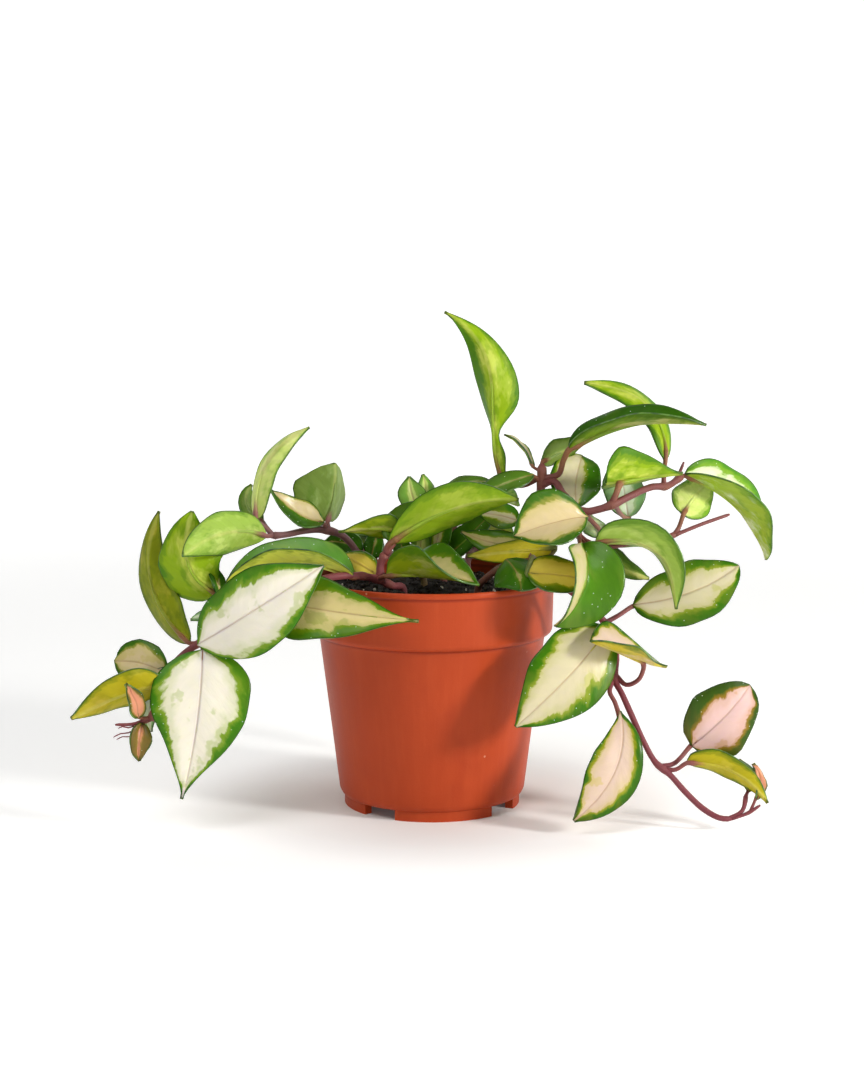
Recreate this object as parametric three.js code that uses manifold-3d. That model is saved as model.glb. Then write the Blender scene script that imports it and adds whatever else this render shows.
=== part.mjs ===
// A variegated hoya in a plastic nursery pot.
// Millimetres, +Z up, +X to the right, the front of the plant towards -Y.
// The origin is on the pot's axis, level with the undersides of its feet.
import * as THREE from "three";
import { mergeVertices } from "three/addons/utils/BufferGeometryUtils.js";
import Module from "manifold-3d";

const wasm = await Module();
wasm.setup();

// Pot, a 12 cm nursery pot with a stepped rim band and four feet.
const POT_HEIGHT = 112;
const RIM_RADIUS = 60;
const LIP_HEIGHT = 3;
const LIP_STEP = 0.8;
const BAND_BOTTOM_Z = 86.7;
const BAND_BOTTOM_RADIUS = 58.6;
const STEP_Z = 84;
const STEP_RADIUS = 55;
const BODY_BOTTOM_Z = 8;
const BODY_BOTTOM_RADIUS = 45.3;
const BASE_RADIUS = 43;
const WALL = 1.4;
const FLOOR_THICKNESS = 1.6;
const FOOT_COUNT = 4;
const FOOT_HEIGHT = 5;
const FOOT_OUTER_RADIUS = 42.9;
const FOOT_WIDTH = 4;
const FOOT_SPAN_DEGREES = 66;
const FIRST_FOOT_DEGREES = -81.3;
const DRAIN_SPAN_DEGREES = 16;
const DRAIN_INNER_RADIUS = 31;
const DRAIN_OUTER_RADIUS = 40;
const ROUND_SEGMENTS = 36;
const JOIN_DEPTH = 0.6;

// Soil, which fills the pot to a little below the rim.
const CLEARANCE = 0.3;
const SOIL_TOP_Z = 105.5;
const SOIL_RELIEF = 0.9;
const SOIL_RINGS = 3;
const HOLE_DEPTH = 16;
const ROOT_DEPTH = 15;
const HOLE_SIDES = 8;
const HOLE_CLEARANCE = 1.1;
const ROOT_TOP = 3.5;

// Leaves and stems.
const LEAF_THICKNESS = 1.2;
const LONG_LEAF = 38;
const LONG_LEAF_ROWS = 5;
const SHORT_LEAF_ROWS = 4;
const WIDE_LEAF = 28;
const WIDE_LEAF_COLUMNS = 4;
const NARROW_LEAF_COLUMNS = 2;
const BASE_POWER = 0.6;
const TIP_POWER = 0.95;
const LEAST_HALF_WIDTH = 0.6;
const WAIST_SHARE = 0.27;
const WAIST_SPAN = 0.11;
const STEM_RADIUS = 1.7;
const PETIOLE_RADIUS = 1.4;
const PETIOLE_SUNK = 0.1;
const STEM_SIDES = 5;
const PETIOLE_SIDES = 3;
const STEM_STEP = 11;

// Places on the plant are given as seen from the front: across and up on the upright plane
// through the pot's axis, and the depth behind that plane. The eye is this far in front, this high.
const EYE_DISTANCE = 1009;
const EYE_HEIGHT = 266;

function place([across, up, depth]) {
  const share = depth / EYE_DISTANCE;
  return new THREE.Vector3(
    across * (1 + share),
    depth,
    up + (up - EYE_HEIGHT) * share,
  );
}

function solidOf(geometry) {
  const bare = geometry.clone();
  bare.deleteAttribute("normal");
  bare.deleteAttribute("uv");
  const merged = mergeVertices(bare, 1e-4);
  const corners = merged.index.array;
  const kept = [];
  for (let i = 0; i < corners.length; i += 3) {
    const [a, b, c] = corners.slice(i, i + 3);
    if (a !== b && b !== c && c !== a) kept.push(a, b, c);
  }
  const build = (triVerts) =>
    new wasm.Manifold(
      new wasm.Mesh({
        numProp: 3,
        vertProperties: merged.attributes.position.array,
        triVerts: new Uint32Array(triVerts),
      }),
    );
  const made = build(kept);
  return made.volume() > 0 ? made : build(kept.reverse());
}

function geometryOf(solid) {
  const mesh = solid.getMesh();
  const geometry = new THREE.BufferGeometry();
  geometry.setAttribute(
    "position",
    new THREE.BufferAttribute(new Float32Array(mesh.vertProperties), 3),
  );
  geometry.setIndex(new THREE.BufferAttribute(new Uint32Array(mesh.triVerts), 1));
  geometry.computeVertexNormals();
  return geometry;
}

const union = (solids) => solids.reduce((joined, next) => joined.add(next));

// A ring or an arc of a ring, standing on the plane at height z.
function arcBlock(inner, outer, startDegrees, spanDegrees, z, height, segments) {
  const start = THREE.MathUtils.degToRad(startDegrees);
  const end = THREE.MathUtils.degToRad(startDegrees + spanDegrees);
  const outline = new THREE.Shape();
  outline.absarc(0, 0, outer, start, end, false);
  outline.absarc(0, 0, inner, end, start, true);
  outline.closePath();
  const block = new THREE.ExtrudeGeometry(outline, {
    depth: height,
    bevelEnabled: false,
    curveSegments: segments,
  });
  block.translate(0, 0, z);
  return solidOf(block);
}

function potSolid() {
  const lipZ = POT_HEIGHT - LIP_HEIGHT;
  const floorTop = FOOT_HEIGHT + FLOOR_THICKNESS;
  const profile = [
    [0, FOOT_HEIGHT],
    [BASE_RADIUS + 1, FOOT_HEIGHT],
    [BODY_BOTTOM_RADIUS, BODY_BOTTOM_Z],
    [STEP_RADIUS, STEP_Z],
    [STEP_RADIUS + 1.6, STEP_Z + 0.5],
    [BAND_BOTTOM_RADIUS - 0.5, BAND_BOTTOM_Z - 0.8],
    [BAND_BOTTOM_RADIUS, BAND_BOTTOM_Z],
    [RIM_RADIUS - LIP_STEP, lipZ],
    [RIM_RADIUS, lipZ + 0.6],
    [RIM_RADIUS, POT_HEIGHT - 0.8],
    [RIM_RADIUS - 0.8, POT_HEIGHT],
    [RIM_RADIUS - WALL - 0.7, POT_HEIGHT - 0.4],
    [BAND_BOTTOM_RADIUS - WALL, BAND_BOTTOM_Z + WALL],
    [STEP_RADIUS - WALL, STEP_Z],
    [BODY_BOTTOM_RADIUS - WALL, BODY_BOTTOM_Z],
    [BASE_RADIUS - WALL, floorTop],
    [0, floorTop],
  ];
  const shell = new THREE.LatheGeometry(
    profile.map(([radius, z]) => new THREE.Vector2(radius, z)),
    ROUND_SEGMENTS,
  );
  shell.rotateX(Math.PI / 2);
  let pot = solidOf(shell);
  const turn = 360 / FOOT_COUNT;
  for (let i = 0; i < FOOT_COUNT; i += 1) {
    const middle = FIRST_FOOT_DEGREES + i * turn;
    const foot = arcBlock(
      FOOT_OUTER_RADIUS - FOOT_WIDTH,
      FOOT_OUTER_RADIUS,
      middle - FOOT_SPAN_DEGREES / 2,
      FOOT_SPAN_DEGREES,
      0,
      FOOT_HEIGHT + JOIN_DEPTH,
      6,
    );
    const drain = arcBlock(
      DRAIN_INNER_RADIUS,
      DRAIN_OUTER_RADIUS,
      middle + (turn - DRAIN_SPAN_DEGREES) / 2,
      DRAIN_SPAN_DEGREES,
      FOOT_HEIGHT - 1,
      FLOOR_THICKNESS + 2,
      2,
    );
    pot = pot.add(foot).subtract(drain);
  }
  return pot;
}

function soilRelief(x, y) {
  return SOIL_RELIEF * (Math.sin(x / 7 + 1) * Math.cos(y / 8) + Math.sin((x + y) / 5) / 2);
}

function soilSolid(roots) {
  const inner = WALL + CLEARANCE;
  const floorTop = FOOT_HEIGHT + FLOOR_THICKNESS + CLEARANCE;
  const topRadius = BAND_BOTTOM_RADIUS - inner;
  const profile = [
    [0, floorTop],
    [BASE_RADIUS - inner - 0.3, floorTop],
    [BODY_BOTTOM_RADIUS - inner - 0.1, BODY_BOTTOM_Z + 0.4],
    [STEP_RADIUS - inner - 0.1, STEP_Z + 0.2],
    [topRadius - 0.2, BAND_BOTTOM_Z + WALL + 0.5],
    [topRadius, SOIL_TOP_Z - 1.5],
  ];
  for (let i = SOIL_RINGS; i >= 0; i -= 1)
    profile.push([((topRadius - 1) * i) / SOIL_RINGS, SOIL_TOP_Z]);
  const plug = new THREE.LatheGeometry(
    profile.map(([radius, z]) => new THREE.Vector2(radius, z)),
    ROUND_SEGMENTS,
  );
  plug.rotateX(Math.PI / 2);
  const points = plug.attributes.position;
  for (let i = 0; i < points.count; i += 1) {
    const [x, y] = [points.getX(i), points.getY(i)];
    if (points.getZ(i) > SOIL_TOP_Z - 0.1 && Math.hypot(x, y) > 0.01)
      points.setZ(i, SOIL_TOP_Z + soilRelief(x, y));
  }
  let soil = solidOf(plug);
  for (const [x, y] of roots) {
    const hole = new THREE.CylinderGeometry(
      STEM_RADIUS + HOLE_CLEARANCE,
      STEM_RADIUS + HOLE_CLEARANCE,
      HOLE_DEPTH * 2,
      HOLE_SIDES,
    );
    hole.rotateX(Math.PI / 2);
    hole.translate(x, y, SOIL_TOP_Z);
    soil = soil.subtract(solidOf(hole));
  }
  return soil;
}

function tube(points, radius, sides) {
  const curve = new THREE.CatmullRomCurve3(points, false, "centripetal");
  const outline = new THREE.Shape();
  for (let i = 0; i < sides; i += 1) {
    const angle = (2 * Math.PI * i) / sides;
    const corner = [radius * Math.cos(angle), radius * Math.sin(angle)];
    if (i === 0) outline.moveTo(...corner);
    else outline.lineTo(...corner);
  }
  outline.closePath();
  const steps = Math.max(2, Math.round(curve.getLength() / STEM_STEP));
  return solidOf(
    new THREE.ExtrudeGeometry(outline, { steps, extrudePath: curve, bevelEnabled: false }),
  );
}

// The midrib bows away from the straight line between base and tip.
function midrib(leaf, share) {
  const base = place(leaf.base);
  const tip = place(leaf.tip);
  const bow = new THREE.Vector3(leaf.bow[0], leaf.bow[2], leaf.bow[1]);
  const lean = leaf.lean ?? 0;
  const weight = 4 * share * (1 - share) * (1 + lean * (2 * share - 1));
  return base.lerp(tip, share).addScaledVector(bow, weight);
}

function halfWidth(leaf, share) {
  const basePower = leaf.rise ?? BASE_POWER;
  const tipPower = leaf.taper ?? TIP_POWER;
  const widest = basePower / (basePower + tipPower);
  const shape = (t) => Math.pow(t, basePower) * Math.pow(1 - t, tipPower);
  const waist = (leaf.waist ?? 0) * Math.exp(-(((share - WAIST_SHARE) / WAIST_SPAN) ** 2));
  const width = (leaf.width / 2) * (shape(share) / shape(widest)) * (1 - waist);
  return Math.max(width, LEAST_HALF_WIDTH);
}

// A point of the blade: share runs from base to tip, side from -1 to 1 across.
function bladePoint(leaf, share, side) {
  const step = 0.02;
  const forward = midrib(leaf, share + step).sub(midrib(leaf, share - step)).normalize();
  const face = new THREE.Vector3(...leaf.face);
  face.addScaledVector(forward, -face.dot(forward)).normalize();
  const twist = THREE.MathUtils.degToRad(leaf.twist ?? 0) * (share - 0.5);
  face.applyAxisAngle(forward, twist);
  const across = new THREE.Vector3().crossVectors(forward, face);
  const reach = side * halfWidth(leaf, share);
  const fold = THREE.MathUtils.degToRad(leaf.fold ?? 0);
  const full = Math.abs(reach) / (leaf.width / 2);
  const lift =
    Math.abs(reach) * Math.sin(fold) -
    (leaf.curl ?? 0) * full * full +
    (leaf.wave ?? 0) * full * full * Math.sin(2 * Math.PI * (1.5 * share + side / 4));
  return midrib(leaf, share)
    .addScaledVector(across, reach * Math.cos(fold))
    .addScaledVector(face, lift);
}

function bladeNormal(leaf, share, side) {
  const step = 0.04;
  const near = Math.min(Math.max(share, step), 1 - step);
  const along = bladePoint(leaf, near + step, side).sub(bladePoint(leaf, near - step, side));
  const over = bladePoint(leaf, near, Math.min(side + step, 1));
  over.sub(bladePoint(leaf, near, Math.max(side - step, -1)));
  return along.cross(over).negate().normalize();
}

// Both faces are the same grid, split into triangles alike, and the rim joins them.
function bladeSolid(leaf) {
  const length = place(leaf.base).distanceTo(place(leaf.tip));
  const rows = length > LONG_LEAF ? LONG_LEAF_ROWS : SHORT_LEAF_ROWS;
  const columns = leaf.width > WIDE_LEAF ? WIDE_LEAF_COLUMNS : NARROW_LEAF_COLUMNS;
  const grid = new THREE.PlaneGeometry(1, 1, columns, rows);
  const count = grid.attributes.position.count;
  const points = new Float32Array(count * 6);
  const rowLength = columns + 1;
  for (let i = 0; i < count; i += 1) {
    const even = Math.floor(i / rowLength) / rows;
    const share = (even + (1 - Math.cos(Math.PI * even)) / 2) / 2;
    const side = ((i % rowLength) / columns) * 2 - 1;
    const middle = bladePoint(leaf, share, side);
    const normal = bladeNormal(leaf, share, side);
    middle
      .clone()
      .addScaledVector(normal, LEAF_THICKNESS / 2)
      .toArray(points, i * 3);
    middle
      .clone()
      .addScaledVector(normal, -LEAF_THICKNESS / 2)
      .toArray(points, (count + i) * 3);
  }
  const top = Array.from(grid.index.array);
  const under = top.map((corner) => corner + count).reverse();
  const border = [];
  for (let i = 0; i < columns; i += 1) border.push(i);
  for (let i = 0; i < rows; i += 1) border.push(i * rowLength + columns);
  for (let i = columns; i > 0; i -= 1) border.push(rows * rowLength + i);
  for (let i = rows; i > 0; i -= 1) border.push(i * rowLength);
  const rim = border.flatMap((corner, i) => {
    const next = border[(i + 1) % border.length];
    return [corner, next, next + count, corner, next + count, corner + count];
  });
  const blade = new THREE.BufferGeometry();
  blade.setAttribute("position", new THREE.BufferAttribute(points, 3));
  blade.setIndex([...top, ...under, ...rim]);
  return solidOf(blade);
}

function petioleSolid(leaf) {
  const path = leaf.from.map(place);
  if (!leaf.joint) path.push(place(leaf.base));
  path.push(midrib(leaf, leaf.joint ?? PETIOLE_SUNK));
  return tube(path, leaf.petiole ?? PETIOLE_RADIUS, PETIOLE_SIDES);
}

function leafSolid(leaf) {
  return bladeSolid(leaf).add(petioleSolid(leaf));
}

function stemSolid(stem) {
  const path = stem.points.map(place);
  if (stem.root) {
    const [x, y] = stem.root;
    path.unshift(
      new THREE.Vector3(x, y, SOIL_TOP_Z - ROOT_DEPTH),
      new THREE.Vector3(x, y, SOIL_TOP_Z - ROOT_DEPTH / 2),
      new THREE.Vector3(x, y, SOIL_TOP_Z + ROOT_TOP),
    );
  }
  return tube(path, stem.radius ?? STEM_RADIUS, STEM_SIDES);
}

// Each leafy stem: its stems, then its leaves. A leaf has the places of its base and its tip, the
// path of its petiole, its width, the way its upper face looks, and the bow of its midrib. A waist
// draws the blade in above its base.
const LEAFY_STEMS = {
  left_front_stem: {
    stems: [
      {
        root: [-14, -20],
        points: [
          [-19, 106.5, -24], [-26, 109.5, -30], [-36, 111.5, -38], [-52, 110, -46],
          [-72, 100, -46], [-94, 88, -44], [-113, 78.5, -44], [-124, 70, -48],
          [-132, 55, -54], [-138, 39.5, -58],
        ],
      },
      { points: [[-25, 108, -30], [-25, 117, -30], [-22.5, 123, -30]], radius: 1.9 },
      { points: [[-137, 42, -57], [-146, 38, -60], [-155.5, 37.5, -62]], radius: 0.8 },
    ],
    leaves: [
      { // upright, seen from below, furthest left
        base: [-118, 78.5, -41], tip: [-132, 143, -18], from: [[-113, 78.5, -44]],
        width: 21, face: [0.5, 1, 0], bow: [-12, -4, 6], fold: 25, taper: 0.9,
      },
      { // cupped, seen from below
        base: [-104, 103, -32], tip: [-116, 143, -27], from: [[-96.5, 87, -44], [-101, 97, -38]],
        width: 33, face: [0.1, 1, 0.1], bow: [-7.5, -5, -6], fold: 15, curl: -3, taper: 0.8,
      },
      { // narrow one beside it
        base: [-103.5, 101, -34], tip: [-110, 118.5, -30], from: [[-94, 88, -44], [-99, 93, -38]],
        width: 8, face: [0.7, -1, 0.2], bow: [1.5, 1, 0], fold: 20,
      },
      { // small one behind it
        base: [-104, 91, -36], tip: [-117.5, 89.5, -34], from: [[-95, 87.5, -44]],
        width: 9, face: [0, -0.8, 1], bow: [0, 1, 0], fold: 15, petiole: 0.9,
      },
      { // large, cream, seen from above
        base: [-114, 77.5, -52], tip: [-52.5, 116.5, -64], from: [[-112.5, 78.8, -45]],
        width: 37, face: [0.05, -1, 0.25], bow: [-1, -0.5, -5], fold: 8, curl: 2, rise: 0.72,
      },
      { // hanging down to the table
        base: [-112, 75, -52], tip: [-123.5, 0.3, -62], from: [[-113, 78.5, -44]],
        width: 47, face: [0, -1, 0.1], bow: [3, 1, -7], fold: 6, curl: 3, taper: 1.45,
      },
      { // behind the hanging one
        base: [-128, 66, -50], tip: [-138, 34, -50], from: [[-126, 68, -50]],
        width: 15, face: [-0.3, -1, 0.2], bow: [-4, 0, 0], fold: 10,
      },
      { // olive, seen from below, out to the left
        base: [-131, 58, -56], tip: [-177, 40.5, -62], from: [[-130, 60, -53]],
        width: 22, face: [0, 0.9, 0.6], bow: [2, 3, 0], fold: 12,
      },
      { // cream one behind it
        base: [-130, 63, -50], tip: [-155, 69, -42], from: [[-127, 66, -50]],
        width: 22, face: [0, -1, 0.5], bow: [0, 2, 0], fold: 10, taper: 0.6,
      },
      { // youngest leaves at the end
        base: [-144, 41, -62], tip: [-150, 58, -69], from: [[-137, 41, -57]],
        width: 10, face: [0.8, -1, 0], bow: [1, 0, 0], fold: 25, petiole: 0.9,
      },
      {
        base: [-142, 38, -59], tip: [-144, 19.5, -62], from: [[-138, 40, -58]],
        width: 12, face: [0.4, -1, 0], bow: [-1, 0, -2], fold: 30, petiole: 0.9,
      },
      { // arched over the rim, trough shaped
        base: [-38, 111, -40], tip: [-100, 108, -34], from: [[-34, 111.5, -37]],
        width: 28, face: [0, -0.2, 1], bow: [0, 7.5, 0], fold: 50, taper: 0.75,
      },
      { // in front of the pot, drawn out tip
        base: [-80, 99, -48], tip: [-6.5, 89, -66], from: [[-72, 100, -46]],
        width: 32, face: [0.1, -1, 0.3], bow: [1, 0, -6], fold: 8, taper: 1.7,
      },
      { // large, folded, across the top of the pot
        base: [-21.5, 127, -30],
        tip: [42, 148.5, -34],
        from: [[-22.5, 122, -30]],
        width: 25,
        face: [0.2, 1, 0.35],
        bow: [1.5, 7, 0],
        fold: 25,
        rise: 0.87,
        taper: 1.2,
        petiole: 1.6,
      },
      {
        base: [-15, 134, -25], tip: [-45.3, 133, -24], from: [[-22.5, 122, -30]],
        width: 15, face: [-0.2, 0.9, 0.5], bow: [0, 1, 0], fold: 15, rise: 0.5, taper: 1.6, petiole: 1.5,
      },
      {
        base: [-20.5, 128.5, -28], tip: [-4, 148, -14], from: [[-22.5, 122, -30]],
        width: 15, face: [-0.6, -0.9, 0.4], bow: [-2, 1, 0], fold: 15, petiole: 1.5,
      },
      { // trough shaped and twisted, lying over the rim
        base: [-22, 112, -38],
        tip: [23, 106.8, -50],
        from: [[-26, 110, -31]],
        width: 37,
        face: [0, -0.1, 1],
        bow: [0, 1.5, 0],
        fold: 47,
        twist: 90,
        lean: -0.3,
      },
      { // yellow, behind the stem
        base: [-27, 112, -22], tip: [-44, 121.5, -20], from: [[-22, 107, -26]],
        width: 13, face: [0, -1, 0.3], bow: [0, 1, 0], fold: 10,
      },
    ],
  },
  left_back_stem: {
    stems: [
      {
        root: [-30, 14],
        points: [
          [-32, 112, 12], [-37, 124, 8], [-44, 131.5, 4], [-53, 134, 0],
          [-62, 133.5, -4], [-70, 131.8, -6], [-78, 131, -8],
        ],
      },
    ],
    leaves: [
      { // level, seen from below
        base: [-80.5, 131, -12], tip: [-121, 121.5, -60], from: [[-77.5, 131.2, -8]],
        width: 20.5, face: [-0.2, 1, -0.1], bow: [0, 5.5, 2], fold: 10, curl: -2, taper: 0.8,
      },
      { // slender, upright
        base: [-84.4, 139, -8],
        tip: [-59, 183.8, -4],
        from: [[-77.5, 131.2, -8], [-81, 135.5, -8]],
        width: 15,
        face: [0.75, 0.7, -0.2],
        bow: [-8, 4, 0],
        fold: 15,
        rise: 0.5,
        taper: 0.85,
      },
      { // behind it
        base: [-82, 138, 2], tip: [-87, 156, 12], from: [[-77, 131.2, -7], [-80, 135, -3]],
        width: 11, face: [0.2, 1, 0.2], bow: [-5, 0, 0], fold: 10,
      },
      { // rounded, seen from below
        base: [-51, 138, 2],
        tip: [-46.7, 166.5, 8],
        from: [[-49.5, 133, 1]],
        width: 40,
        face: [-0.6, 0.8, 0],
        bow: [1.5, 0, 0],
        fold: 40,
        rise: 0.4,
        taper: 0.55,
      },
      { // its partner, upper face seen
        base: [-52.5, 137.5, -2],
        tip: [-78, 153.6, -10],
        from: [[-50.5, 133.5, 1]],
        width: 16,
        face: [0.3, -0.8, 0.7],
        bow: [-1, -3, 0],
        fold: 22,
      },
      { // dark ones low down
        base: [-34, 123.5, 13], tip: [-52, 128, 16], from: [[-33.8, 117.5, 10.5]],
        width: 13, face: [0, -1, 0.2], bow: [0, 2, 0], fold: 10,
      },
      {
        base: [-30, 120, 15], tip: [-26, 134, 22], from: [[-32, 113, 12]],
        width: 11, face: [0.3, -1, 0.2], bow: [0, 0, 0], fold: 10,
      },
    ],
  },
  centre_stem: {
    stems: [
      { root: [-4, 4], points: [[-5, 112, 4], [-6, 122, 5], [-7, 134, 6], [-6, 146, 7]] },
    ],
    leaves: [
      {
        base: [-7, 144, 6], tip: [-11, 160, 8], from: [[-6.5, 140, 6.5]],
        width: 14, face: [0, -1, 0.2], bow: [-1, 0, 0], fold: 8,
      },
      {
        base: [-4, 146, 8], tip: [-4.5, 161, 11], from: [[-6, 141, 7]],
        width: 10, face: [0.2, -1, 0.2], bow: [1, 0, 0], fold: 8,
      },
      {
        base: [-9, 119, 4], tip: [-15.5, 133, 2], from: [[-5.5, 115, 4]],
        width: 10, face: [0.2, -1, 0], bow: [-2, -1, 0], fold: 10,
      },
      {
        base: [-5, 119, 0], tip: [-3, 141, -8], from: [[-5, 114, 4]],
        width: 10, face: [-0.3, -1, 0], bow: [-1, 0, 0], fold: 12,
      },
      {
        base: [0, 120, 0], tip: [8, 148, -4], from: [[-5, 116, 4]],
        width: 13, face: [-0.3, -1, 0.1], bow: [0, 0, 0], fold: 10,
      },
      {
        base: [4, 118, 2],
        tip: [33, 146, -6],
        from: [[-5, 114, 4.5], [0, 115, 4]],
        width: 14,
        face: [-0.5, -1, 0.6],
        bow: [1, 0, 0],
        fold: 12,
      },
      { // shows above the large folded leaf
        base: [4, 150, 0], tip: [29, 157, -6], from: [[-6, 145, 7], [-1, 148, 4]],
        width: 12, face: [0, -0.7, 1], bow: [0, 2.5, 0], fold: 15,
      },
    ],
  },
  right_high_stem: {
    stems: [
      {
        root: [44, -8],
        points: [[46, 115, -9], [49, 132, -10], [51.5, 147, -10], [53, 158, -10], [53, 166, -10]],
        radius: 2,
      },
      {
        points: [
          [53, 156, -10], [59, 157.5, -14], [64, 150, -21], [68, 145.5, -26],
          [73, 142.8, -30], [80, 143.8, -32], [88, 146.5, -32], [96, 150.5, -28],
          [106, 154.8, -20], [114, 155.5, -12], [121, 160.5, -4],
        ],
      },
      { points: [[70, 144, -28], [70.5, 137, -30], [71, 130.5, -32]], radius: 1.6 },
      {
        points: [
          [71, 131, -32], [77, 127, -36], [84, 125.8, -40], [94, 127, -38],
          [104, 129, -30], [113, 130, -24], [121, 133, -20],
        ],
        radius: 1.3,
      },
      { points: [[118, 131.5, -22], [130, 136.5, -18], [144, 141.5, -12]], radius: 0.9 },
      { points: [[118, 158.5, -6], [120, 163, -4], [121.5, 167, -4]], radius: 0.8 },
    ],
    leaves: [
      { // tall, seen from below
        base: [36, 157, 0],
        tip: [6, 239, 8],
        from: [[53, 160, -10], [44, 155.5, -4]],
        width: 26,
        face: [0.41, 0.91, 0],
        bow: [8, 2, 0],
        fold: 40,
        rise: 1.15,
        taper: 1.15,
        lean: 1.6,
        twist: 74,
        waist: 0.72,
      },
      {
        base: [49, 160.5, -13], tip: [16, 148, -22], from: [[52.5, 157, -10]],
        width: 13, face: [-0.2, -0.8, 0.8], bow: [0, 1, 0], fold: 12,
      },
      {
        base: [49, 165, -8], tip: [35, 180, 4], from: [[53, 162, -10]],
        width: 6, face: [0.7, -0.3, 0.7], bow: [1, 2, 0], fold: 20, petiole: 0.9,
      },
      { // behind the long one, seen from below
        base: [53, 167, -8], tip: [76, 179, 4], from: [[53, 163, -10]],
        width: 13, face: [-0.1, 0.9, 0.4], bow: [-1, -0.5, 0], fold: 15,
      },
      { // long, dark, trough shaped
        base: [66, 174, -16], tip: [132, 184.5, -24],
        from: [[53, 159, -10], [61, 161, -12], [63.5, 168, -14]],
        width: 24, face: [0, -0.15, 1], bow: [0, 6, 0], fold: 38, petiole: 1.6,
      },
      { // seen from below, its tip curled over to the left
        base: [112, 168, -12], tip: [73, 205, 0], from: [[112, 155.5, -14], [112, 162, -13]],
        width: 18, face: [-0.6, 0.6, -0.5], bow: [10.5, 7.5, 4], fold: 8, taper: 0.8,
      },
      { // upper face behind the stems
        base: [70, 144.5, -13], tip: [72.5, 170, 6], from: [[64.5, 149.5, -21.5], [67, 144.5, -17]],
        width: 25, face: [0, -1, 0.2], bow: [-2, 0, -3], fold: 10, taper: 0.5,
      },
      { // curled up, seen from below
        base: [84, 156.5, -31],
        tip: [121, 161.5, -20],
        from: [[87, 146.5, -32], [89, 151.5, -32]],
        width: 32,
        face: [0, 0.8, 0.6],
        bow: [-2, 0, 0],
        fold: 36,
        rise: 0.5,
        taper: 1.3,
        petiole: 1.7,
        joint: 0.2,
      },
      { // drooping, at the far right
        base: [122, 161, -4], tip: [162.5, 119.5, 14], from: [[119, 159.5, -6]],
        width: 36, face: [0.55, -0.15, 0.65], bow: [4.5, 5, 0], fold: 42, taper: 0.8,
      },
      { // roundish, seen from below
        base: [121.5, 141.5, -18], tip: [136, 161, 16], from: [[117, 131, -22], [119.5, 135, -20]],
        width: 20, face: [-0.1, 1, -0.4], bow: [-1, 0, 0], fold: 12,
      },
      { // pale, behind
        base: [95, 140, 0], tip: [89, 171, 12], from: [[88, 146.5, -32], [92, 141, -14]],
        width: 21, face: [0.2, -1, 0.2], bow: [0, 0, 0], fold: 8,
      },
      {
        base: [82, 130, -6], tip: [75, 142, 8], from: [[73, 142.8, -30], [82, 133, -16]],
        width: 12, face: [-0.3, 1, 0.2], bow: [0, 0, 0], fold: 8,
      },
      { // cream, across the front
        base: [75, 140, -34],
        tip: [39.6, 130.5, -46],
        from: [[72, 143, -30]],
        width: 34,
        face: [0.05, -0.84, 0.55],
        bow: [1, 2, -2],
        fold: 31,
        rise: 1.1,
        taper: 0.95,
      },
      { // large, hanging at the right of the pot, its left half turned to the front
        base: [72.5, 127, -42], tip: [60, 86.5, -56], from: [[71, 132, -32]],
        width: 36, face: [0.57, -0.82, 0.1], bow: [7, 1, -6], fold: 35, taper: 0.75, twist: -60,
      },
      { // behind it
        base: [76, 125, -38], tip: [105.5, 110, -32], from: [[71, 131, -32]],
        width: 14, face: [0, 1, 0.5], bow: [-1, -1, 0], fold: 12,
      },
      { // drooping, seen from below
        base: [79.5, 128, -42], tip: [119, 95, -52], from: [[76, 127.2, -36]],
        width: 26, face: [0.6, 0.5, 0.6], bow: [9, 12, -2], fold: 22,
      },
    ],
  },
  right_low_stem: {
    stems: [
      {
        root: [36, -34],
        points: [
          [42, 109.5, -38], [52, 111.5, -42], [64, 106, -42], [78, 95, -38], [87, 84, -36],
          [90, 72, -36], [89.5, 60, -38], [93, 53, -42], [98, 42, -46], [104, 29, -50],
          [110, 18.5, -52], [117, 12.5, -54], [125, 3.5, -56], [134, -5, -58],
          [142, -9.5, -60], [148, -10, -60],
        ],
        radius: 1.5,
      },
      { points: [[146, -10, -60], [153, -6, -58], [155, 3, -54]], radius: 1 },
      { points: [[148, -10, -60], [156, -7, -60], [162, -3, -60]], radius: 0.8 },
    ],
    leaves: [
      { // cream, out to the right
        base: [98, 97, -30], tip: [149, 116.5, -34], from: [[84, 88, -38], [91, 92, -34]],
        width: 29, face: [0, -1, 0.3], bow: [3, -2.5, -3], fold: 8, curl: 2, taper: 0.7,
      },
      { // cream, in front of the pot's right side
        base: [86, 85, -46], tip: [41, 36.5, -66], from: [[88.5, 79, -36]],
        width: 37, face: [0.1, -1, 0.2], bow: [0.5, -0.5, -5], fold: 6, curl: 3,
      },
      { // curled, pink
        base: [114.5, 66.5, -42],
        tip: [77.5, 79, -62],
        from: [[90, 62, -37], [95, 57.5, -40], [101, 60, -43], [103.5, 66, -45]],
        width: 29,
        face: [0.1, -0.3, 1],
        bow: [0, -1, 0],
        fold: 38,
        rise: 1.7,
        taper: 0.7,
        joint: 0.3,
      },
      { // hanging down to the table
        base: [92, 44, -46], tip: [70, -11, -66],
        from: [[89, 61, -37], [87, 54, -42], [89.5, 49, -44]],
        width: 26, face: [0.1, -1, 0], bow: [8.5, 0, -5], fold: 8, curl: 2, rise: 1.1,
      },
      { // pink
        base: [127.5, 27, -44], tip: [155.5, 57.5, -38], from: [[112, 16.5, -52], [119, 18, -50]],
        width: 32, face: [0, -1, 0.1], bow: [1, -0.5, -3], fold: 8, curl: 2, rise: 0.4, taper: 0.6,
      },
      { // olive, seen from below
        base: [125.5, 19, -54], tip: [165.5, -2, -60], from: [[114, 15, -53], [120, 15, -54]],
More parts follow.
